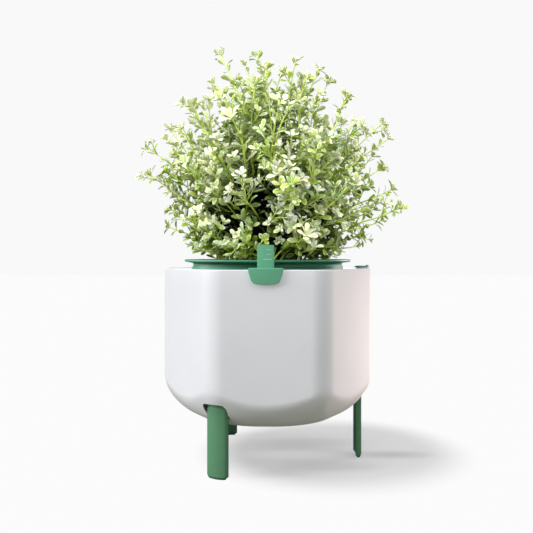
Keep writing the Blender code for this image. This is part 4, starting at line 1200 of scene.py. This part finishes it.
# the rest of the crown, kept apart from each other
tips = [Vector(h[0]) for h in HERO + BRIGHT]
placed, tries = 0, 0
while placed < 134 and tries < 9000:
    tries += 1
    z = rnd.uniform(206, 382)
    a = rnd.uniform(0, 2 * math.pi)
    x, y = math.sin(a), -math.cos(a)
    limit = reach(x, y, z) - (13 if z < 300 else 16)
    if rnd.random() > limit / 120:
        continue
    r = limit * (0.97 - 0.62 * rnd.random() ** 2.1)
    p = Vector((x * r, y * r, z))
    if z < 216 and r > 74:
        continue
    if abs(p.x + 10) < 27 and p.y < -24 and z < 278:  # a dark hollow in the middle of the front
        continue
    if min((p - q).length for q in tips) < (17.5 if z < 290 else 15.5):
        continue
    tips.append(p)
    placed += 1
    high = max(0.0, min(1.0, (z - 235) / 70))
    v = rnd.uniform(0.16, 0.34) + 0.24 * high
    sprig(p, v, v + rnd.uniform(0.12, 0.42), rnd.uniform(11.0, 13.0), first=0.34, shoots=0.34, ratio=rnd.uniform(0.42, 0.52), spacing=8.4, open_tip=rnd.random() < 0.35, tip_count=rnd.choice((6, 7, 8)))


def keep_clear(p):
    """True where a leaf or stem would touch the pot's flange, the gauge or the cap."""
    r = math.hypot(p.x, p.y)
    if p.z < 192.6 and r > 62:
        return True
    if p.z < 201 and r > 78:
        return True
    if p.y < 0 and abs(p.x) < 17 and r > 76 and p.z < 213:
        return True
    if p.x > 80 and abs(p.y) < 22 and p.z < 203:
        return True
    return False


STATION = [0.0, 0.13, 0.30, 0.48, 0.66, 0.83, 0.95, 1.0]
HALF = [0.10, 0.13, 0.42, 0.80, 1.0, 0.90, 0.56, 0.16]
RINGS = [(-1.0, 0.0), (-0.52, 1.0), (0.0, 1.0), (0.52, 1.0), (1.0, 0.0), (0.52, -1.0), (0.0, -1.0), (-0.52, -1.0)]


def leaf_mesh(name, rows):
    """Many thin closed leaves as one mesh, with the attributes that the leaf material reads."""
    m = len(rows)
    o = np.array([r[0] for r in rows])
    d = np.array([r[1] for r in rows])
    nn = np.array([r[2] for r in rows])
    L, W, bend, cup, var, ch, op = (np.array([r[k] for r in rows]) for k in range(3, 10))
    s = np.cross(nn, d)
    s /= np.linalg.norm(s, axis=1)[:, None]
    nn = np.cross(d, s)
    co, la, lb = [], [], []
    thick = 0.16
    for t, h in zip(STATION, HALF):
        for across, face in RINGS:
            x = L * t
            y = W * 0.5 * h * across
            z = bend * L * t * t + cup * np.abs(y) * min(1.0, 2.5 * t) + face * thick * (0.6 + 0.9 * (1 - t))
            pull = 1.0 - 0.10 * np.abs(bend) * t
            co.append(o + d * (x * pull)[:, None] + s * y[:, None] + nn * z[:, None])
            la.append(np.stack([np.full(m, t), np.full(m, across), np.full(m, 0.5 + 0.5 * face)], 1))
            lb.append(np.stack([var, ch, op], 1))
    co = np.stack(co, 1).reshape(-1, 3) * MM
    la = np.stack(la, 1).reshape(-1, 3)
    lb = np.stack(lb, 1).reshape(-1, 3)
    per = len(STATION) * 8
    quads = []
    for i in range(len(STATION) - 1):
        for k in range(8):
            a, b = i * 8 + k, i * 8 + (k + 1) % 8
            quads.append((a, b, b + 8, a + 8))
    caps = [tuple(reversed(range(8))), tuple(range(per - 8, per))]
    faces = []
    for j in range(m):
        base = j * per
        faces.extend([tuple(base + v for v in q) for q in quads])
        faces.extend([tuple(base + v for v in c) for c in caps])
    me = bpy.data.meshes.new(name)
    me.from_pydata(co.tolist(), [], faces)
    for key, values in (("leaf_a", la), ("leaf_b", lb)):
        at = me.attributes.new(key, "FLOAT_VECTOR", "POINT")
        at.data.foreach_set("vector", values.astype(np.float32).ravel())
    me.shade_smooth()
    return obj_from(name, me, LEAF)


def stem_mesh(name, rows):
    verts, faces, lb = [], [], []
    for pts, r0, r1, age0, age1 in rows:
        t, sides = frame_along(pts)
        n = len(pts)
        base = len(verts)
        for i, p in enumerate(pts):
            f = i / (n - 1)
            r = (r0 + (r1 - r0) * f) * (1.0 + (0.12 if i % 2 else 0.0))
            other = t[i].cross(sides[i])
            op = openness(p)
            for k in range(7):
                a = 2 * math.pi * k / 7
                q = p + (sides[i] * math.cos(a) + other * math.sin(a)) * r
                verts.append((q.x * MM, q.y * MM, q.z * MM))
                lb.append((age0 + (age1 - age0) * f, 0.5, op))
        for i in range(n - 1):
            for k in range(7):
                a, b = base + i * 7 + k, base + i * 7 + (k + 1) % 7
                faces.append((a, b, b + 7, a + 7))
        faces.append(tuple(reversed(range(base, base + 7))))
        faces.append(tuple(range(base + (n - 1) * 7, base + n * 7)))
    me = bpy.data.meshes.new(name)
    me.from_pydata(verts, [], faces)
    at = me.attributes.new("leaf_b", "FLOAT_VECTOR", "POINT")
    at.data.foreach_set("vector", np.array(lb, np.float32).ravel())
    me.shade_smooth()
    return obj_from(name, me, STEM)


kept = []
for row in leaves:
    p, d, n, L, W = row[:5]
    s = d.cross(n).normalized()
    probe = [p + d * L * f + s * W * 0.5 * g for f in (0.3, 0.7, 1.05) for g in (-1, 0, 1)]
    if any(keep_clear(q) for q in probe):
        continue
    kept.append(row)
groups = {}
for row in kept:
    p = row[0]
    a = math.degrees(math.atan2(p.x, -p.y)) % 360
    key = ("front", "right", "back_right", "back", "back_left", "left")[int(((a + 30) % 360) // 60)]
    key += "_high" if p.z > 318 else "_middle" if p.z > 258 else "_low"
    groups.setdefault(key, []).append(row)
for key in sorted(groups):
    piece = leaf_mesh("leaves_" + key, groups[key])
    place(piece, "inner_pot", "leaf_green", "plant_foliage")
    print("leaves", key, len(groups[key]))
stem_rows = []
for pts, r0, r1, a0, a1 in stems:
    good = list(pts)
    while len(good) > 3 and keep_clear(good[-1]):
        good.pop()
    if any(keep_clear(q) for q in good[2:]):
        continue
    stem_rows.append((good, r0, r1, a0, a1))
stem_piece = stem_mesh("stems", stem_rows)
place(stem_piece, "inner_pot", "stem_green", "plant_stems")
print("sprigs", placed, "stems", len(stem_rows), "leaves", len(kept))

# =====================================================================================================
# floor, backdrop, light, camera
# =====================================================================================================
WHITE = 0.945
SEEN_GLOW, SEEN_GREY, FLOOR_WHITE = 0.42, 0.24, 0.968


def floor_material():
    """A white sweep: the camera sees it nearly white with soft shadows, partly real and partly painted as patches, and
    it gives back less light than it shows.
    """
    n = Nodes("studio_floor")
    v = n.coords()

    def away(x, y, half_x, half_y):
        """Distance from a spot on the floor, in half sizes of an ellipse in millimetres."""
        stretch = n.new("ShaderNodeMapping", vector_type="TEXTURE")
        stretch.inputs["Location"].default_value = (x * MM, y * MM, 0.0)
        stretch.inputs["Scale"].default_value = (half_x * MM, half_y * MM, 1.0)
        n.link(v, stretch.inputs["Vector"])
        length = n.new("ShaderNodeVectorMath", operation="LENGTH")
        n.link(stretch.outputs["Vector"], length.inputs[0])
        return length.outputs["Value"]

    def over(below, level, share):
        """A patch of the floor seen at a level of its own: painted light where the level is above the floor around it,
        painted shadow where it is below.
        """
        patch = n.new("ShaderNodeEmission")
        patch.inputs["Color"].default_value = (level, level, level, 1)
        mix = n.new("ShaderNodeMixShader")
        n.link(share, mix.inputs[0])
        n.link(below, mix.inputs[1])
        n.link(patch.outputs[0], mix.inputs[2])
        return mix.outputs[0]

    far = n.smooth(away(66, 20, 142, 150), 0.60, 1.02)
    glow = n.new("ShaderNodeEmission")
    glow.inputs["Color"].default_value = (SEEN_GLOW, SEEN_GLOW, SEEN_GLOW, 1)
    grey = n.new("ShaderNodeBsdfDiffuse")
    grey.inputs["Color"].default_value = (SEEN_GREY, SEEN_GREY, SEEN_GREY * 1.005, 1)
    near = n.new("ShaderNodeAddShader")
    n.link(glow.outputs[0], near.inputs[0])
    n.link(grey.outputs[0], near.inputs[1])
    seen_by_camera = over(near.outputs[0], 0.62, n.smooth(away(25, 2, 70, 26), 0.25, 1.0, 0.70, 0.0))  # painted light: a lighter patch on the floor between the legs
    # painted shadow: darker patches behind and in front of the middle, and a streak to the right of the right leg
    seen_by_camera = over(seen_by_camera, 0.46, n.smooth(away(42, 50, 78, 26), 0.20, 1.0, 0.42, 0.0))
    seen_by_camera = over(seen_by_camera, 0.46, n.smooth(away(60, -38, 64, 24), 0.20, 1.0, 0.45, 0.0))
    seen_by_camera = over(seen_by_camera, 0.40, n.smooth(away(120, 2, 66, 22), 0.0, 1.0, 0.60, 0.0))
    seen_by_camera = over(seen_by_camera, FLOOR_WHITE, far)
    n.p.inputs["Base Color"].default_value = (0.235, 0.237, 0.185, 1)
    n.p.inputs["Roughness"].default_value = 0.95
    n.p.inputs["Specular IOR Level"].default_value = 0.0
    path = n.new("ShaderNodeLightPath")
    mixer = n.new("ShaderNodeMixShader")
    n.link(path.outputs["Is Camera Ray"], mixer.inputs[0])
    n.link(n.p.outputs[0], mixer.inputs[1])
    n.link(seen_by_camera, mixer.inputs[2])
    n.link(mixer.outputs[0], n.out.inputs["Surface"])
    return n.m


bm = bmesh.new()
bmesh.ops.create_grid(bm, x_segments=2, y_segments=2, size=6.0)
floor = obj_from("floor", mesh_from_bm("floor", bm), floor_material())
floor.location.z = -0.0002

world = bpy.data.worlds.new("studio")
scene.world = world
world.use_nodes = True
wt = world.node_tree
for node in list(wt.nodes):
    wt.nodes.remove(node)
out = wt.nodes.new("ShaderNodeOutputWorld")
mixer = wt.nodes.new("ShaderNodeMixShader")
path = wt.nodes.new("ShaderNodeLightPath")
dome = wt.nodes.new("ShaderNodeBackground")
dome.inputs["Color"].default_value = (0.95, 0.98, 1.0, 1)
dome.inputs["Strength"].default_value = 0.265
seen = wt.nodes.new("ShaderNodeBackground")
seen.inputs["Color"].default_value = (WHITE, WHITE, WHITE * 1.002, 1)
seen.inputs["Strength"].default_value = 1.0
wt.links.new(path.outputs["Is Camera Ray"], mixer.inputs[0])
wt.links.new(dome.outputs[0], mixer.inputs[1])
wt.links.new(seen.outputs[0], mixer.inputs[2])
wt.links.new(mixer.outputs[0], out.inputs["Surface"])


def sun(name, towards, level, spread, colour):
    """A wide soft light: a white surface that faces it is lit to level."""
    l = bpy.data.lights.new(name, "SUN")
    l.energy = level * math.pi
    l.color = colour
    l.angle = math.radians(spread)
    o = bpy.data.objects.new(name, l)
    scene.collection.objects.link(o)
    o.rotation_euler = Vector(towards).to_track_quat("Z", "Y").to_euler()
    return o


def panel(name, location, target, width, height, level, colour):
    """A soft box: a white surface at the target that faces it is lit to level."""
    gap = (Vector(target) - Vector(location)).length
    l = bpy.data.lights.new(name, "AREA")
    l.shape = "RECTANGLE"
    l.size, l.size_y = width, height
    l.energy = level * math.pi**2 * gap**2
    l.color = colour
    o = bpy.data.objects.new(name, l)
    scene.collection.objects.link(o)
    o.location = location
    o.rotation_euler = (Vector(target) - Vector(location)).to_track_quat("-Z", "Y").to_euler()
    o.visible_camera = False
    return o


sun("key", (-0.88, -0.26, 0.40), 0.75, 28, (0.985, 0.995, 1.0))
sun("overhead", (0.10, 0.0, 1.0), 0.80, 80, (1.0, 1.0, 1.0))
side_fill = panel("side_fill", (0.300, 0.090, 0.098), (0.08, -0.03, 0.113), 0.17, 0.18, 1.16, (1.0, 0.80, 0.75))
side_fill.visible_glossy = False
warm_side = bpy.data.collections.new("lit_by_side_fill")
warm_side.objects.link(bowl)
side_fill.light_linking.receiver_collection = warm_side
front_top = panel("front_top", (-0.07, -0.30, 0.40), (0.01, -0.09, 0.15), 0.26, 0.22, 0.31, (0.99, 0.99, 1.0))
front_top.visible_glossy = False
no_shadow = bpy.data.collections.new("front_top_passes")
for o in list(scene.objects):
    if o.name.startswith("gauge_rim_clip"):
        no_shadow.objects.link(o)
for item in no_shadow.collection_objects:
    item.light_linking.link_state = "EXCLUDE"
front_top.light_linking.blocker_collection = no_shadow
no_legs = bpy.data.collections.new("front_top_leaves_out")
for o in list(scene.objects):
    if o.name.startswith("push_in_leg_"):
        no_legs.objects.link(o)
for item in no_legs.collection_objects:
    item.light_linking.link_state = "EXCLUDE"
front_top.light_linking.receiver_collection = no_legs
corner_top = panel("corner_top", (0.16, -0.20, 0.30), (0.055, -0.08, 0.17), 0.10, 0.10, 0.075, (1.0, 1.0, 0.99))
corner_top.visible_glossy = False
corner_top.light_linking.receiver_collection = warm_side
# glancing light that picks out the edges of the pot's flange
only_pot = bpy.data.collections.new("lit_by_pot_lights")
only_pot.objects.link(pot)
for o in (
    sun("pot_edge_left", (-0.90, 0.30, 0.20), 0.70, 30, (1.0, 1.0, 1.0)),
    sun("pot_edge_right", (0.75, 0.62, 0.20), 0.90, 30, (1.0, 1.0, 1.0)),
    sun("pot_low", (0.45, -0.88, 0.02), 0.16, 50, (1.0, 1.0, 1.0)),
):
    o.light_linking.receiver_collection = only_pot
# light for the plant alone
only_plant = bpy.data.collections.new("lit_by_plant_lights")
for o in scene.objects:
    if o.type == "MESH" and (o.name.startswith("leaves_") or o.name == "stems"):
        only_plant.objects.link(o)
for o in (
    sun("plant_front", (-0.25, -0.78, 0.60), 1.32, 100, (1.0, 1.0, 0.97)),
    sun("plant_right", (0.80, -0.60, 0.05), 0.46, 90, (1.0, 1.0, 0.97)),
    sun("plant_back", (0.20, 0.60, 0.80), 0.56, 90, (1.0, 1.0, 0.94)),
):
    o.light_linking.receiver_collection = only_plant
# daylight that comes through the thin bowl and brightens its inside near the rim
for side in (-1, 1):
    near, far_ = (0.0775 * 0.866 * side + 0.005 * side, 0.0775 * 0.5 - 0.0087, 0.178), (0.0870 * 0.866 * side + 0.005 * side, 0.0870 * 0.5 - 0.0087, 0.180)
    strip = panel("rim_glow_%s" % ("left" if side < 0 else "right"), near, far_, 0.075, 0.005, 1.0, (1.0, 1.0, 1.0))
    strip.data.energy = (4.6 if side < 0 else 5.2) * math.pi * 0.075 * 0.005

DIST, HEIGHT, AZ = 0.7200, 0.1970, math.radians(0.3)
cam = bpy.data.cameras.new("camera")
cam.sensor_width = 36.0
cam.sensor_fit = "HORIZONTAL"
cam.lens = 735.8 / 533.0 * 36.0
cam.shift_x = -1.1 / 533.0
cam.shift_y = -13.0 / 533.0
camera = bpy.data.objects.new("camera", cam)
scene.collection.objects.link(camera)
camera.location = (DIST * math.sin(AZ), -DIST * math.cos(AZ), HEIGHT)
camera.rotation_euler = (math.pi / 2, 0, AZ)
cam.clip_start, cam.clip_end = 0.02, 20.0
scene.camera = camera

bpy.context.view_layer.update()
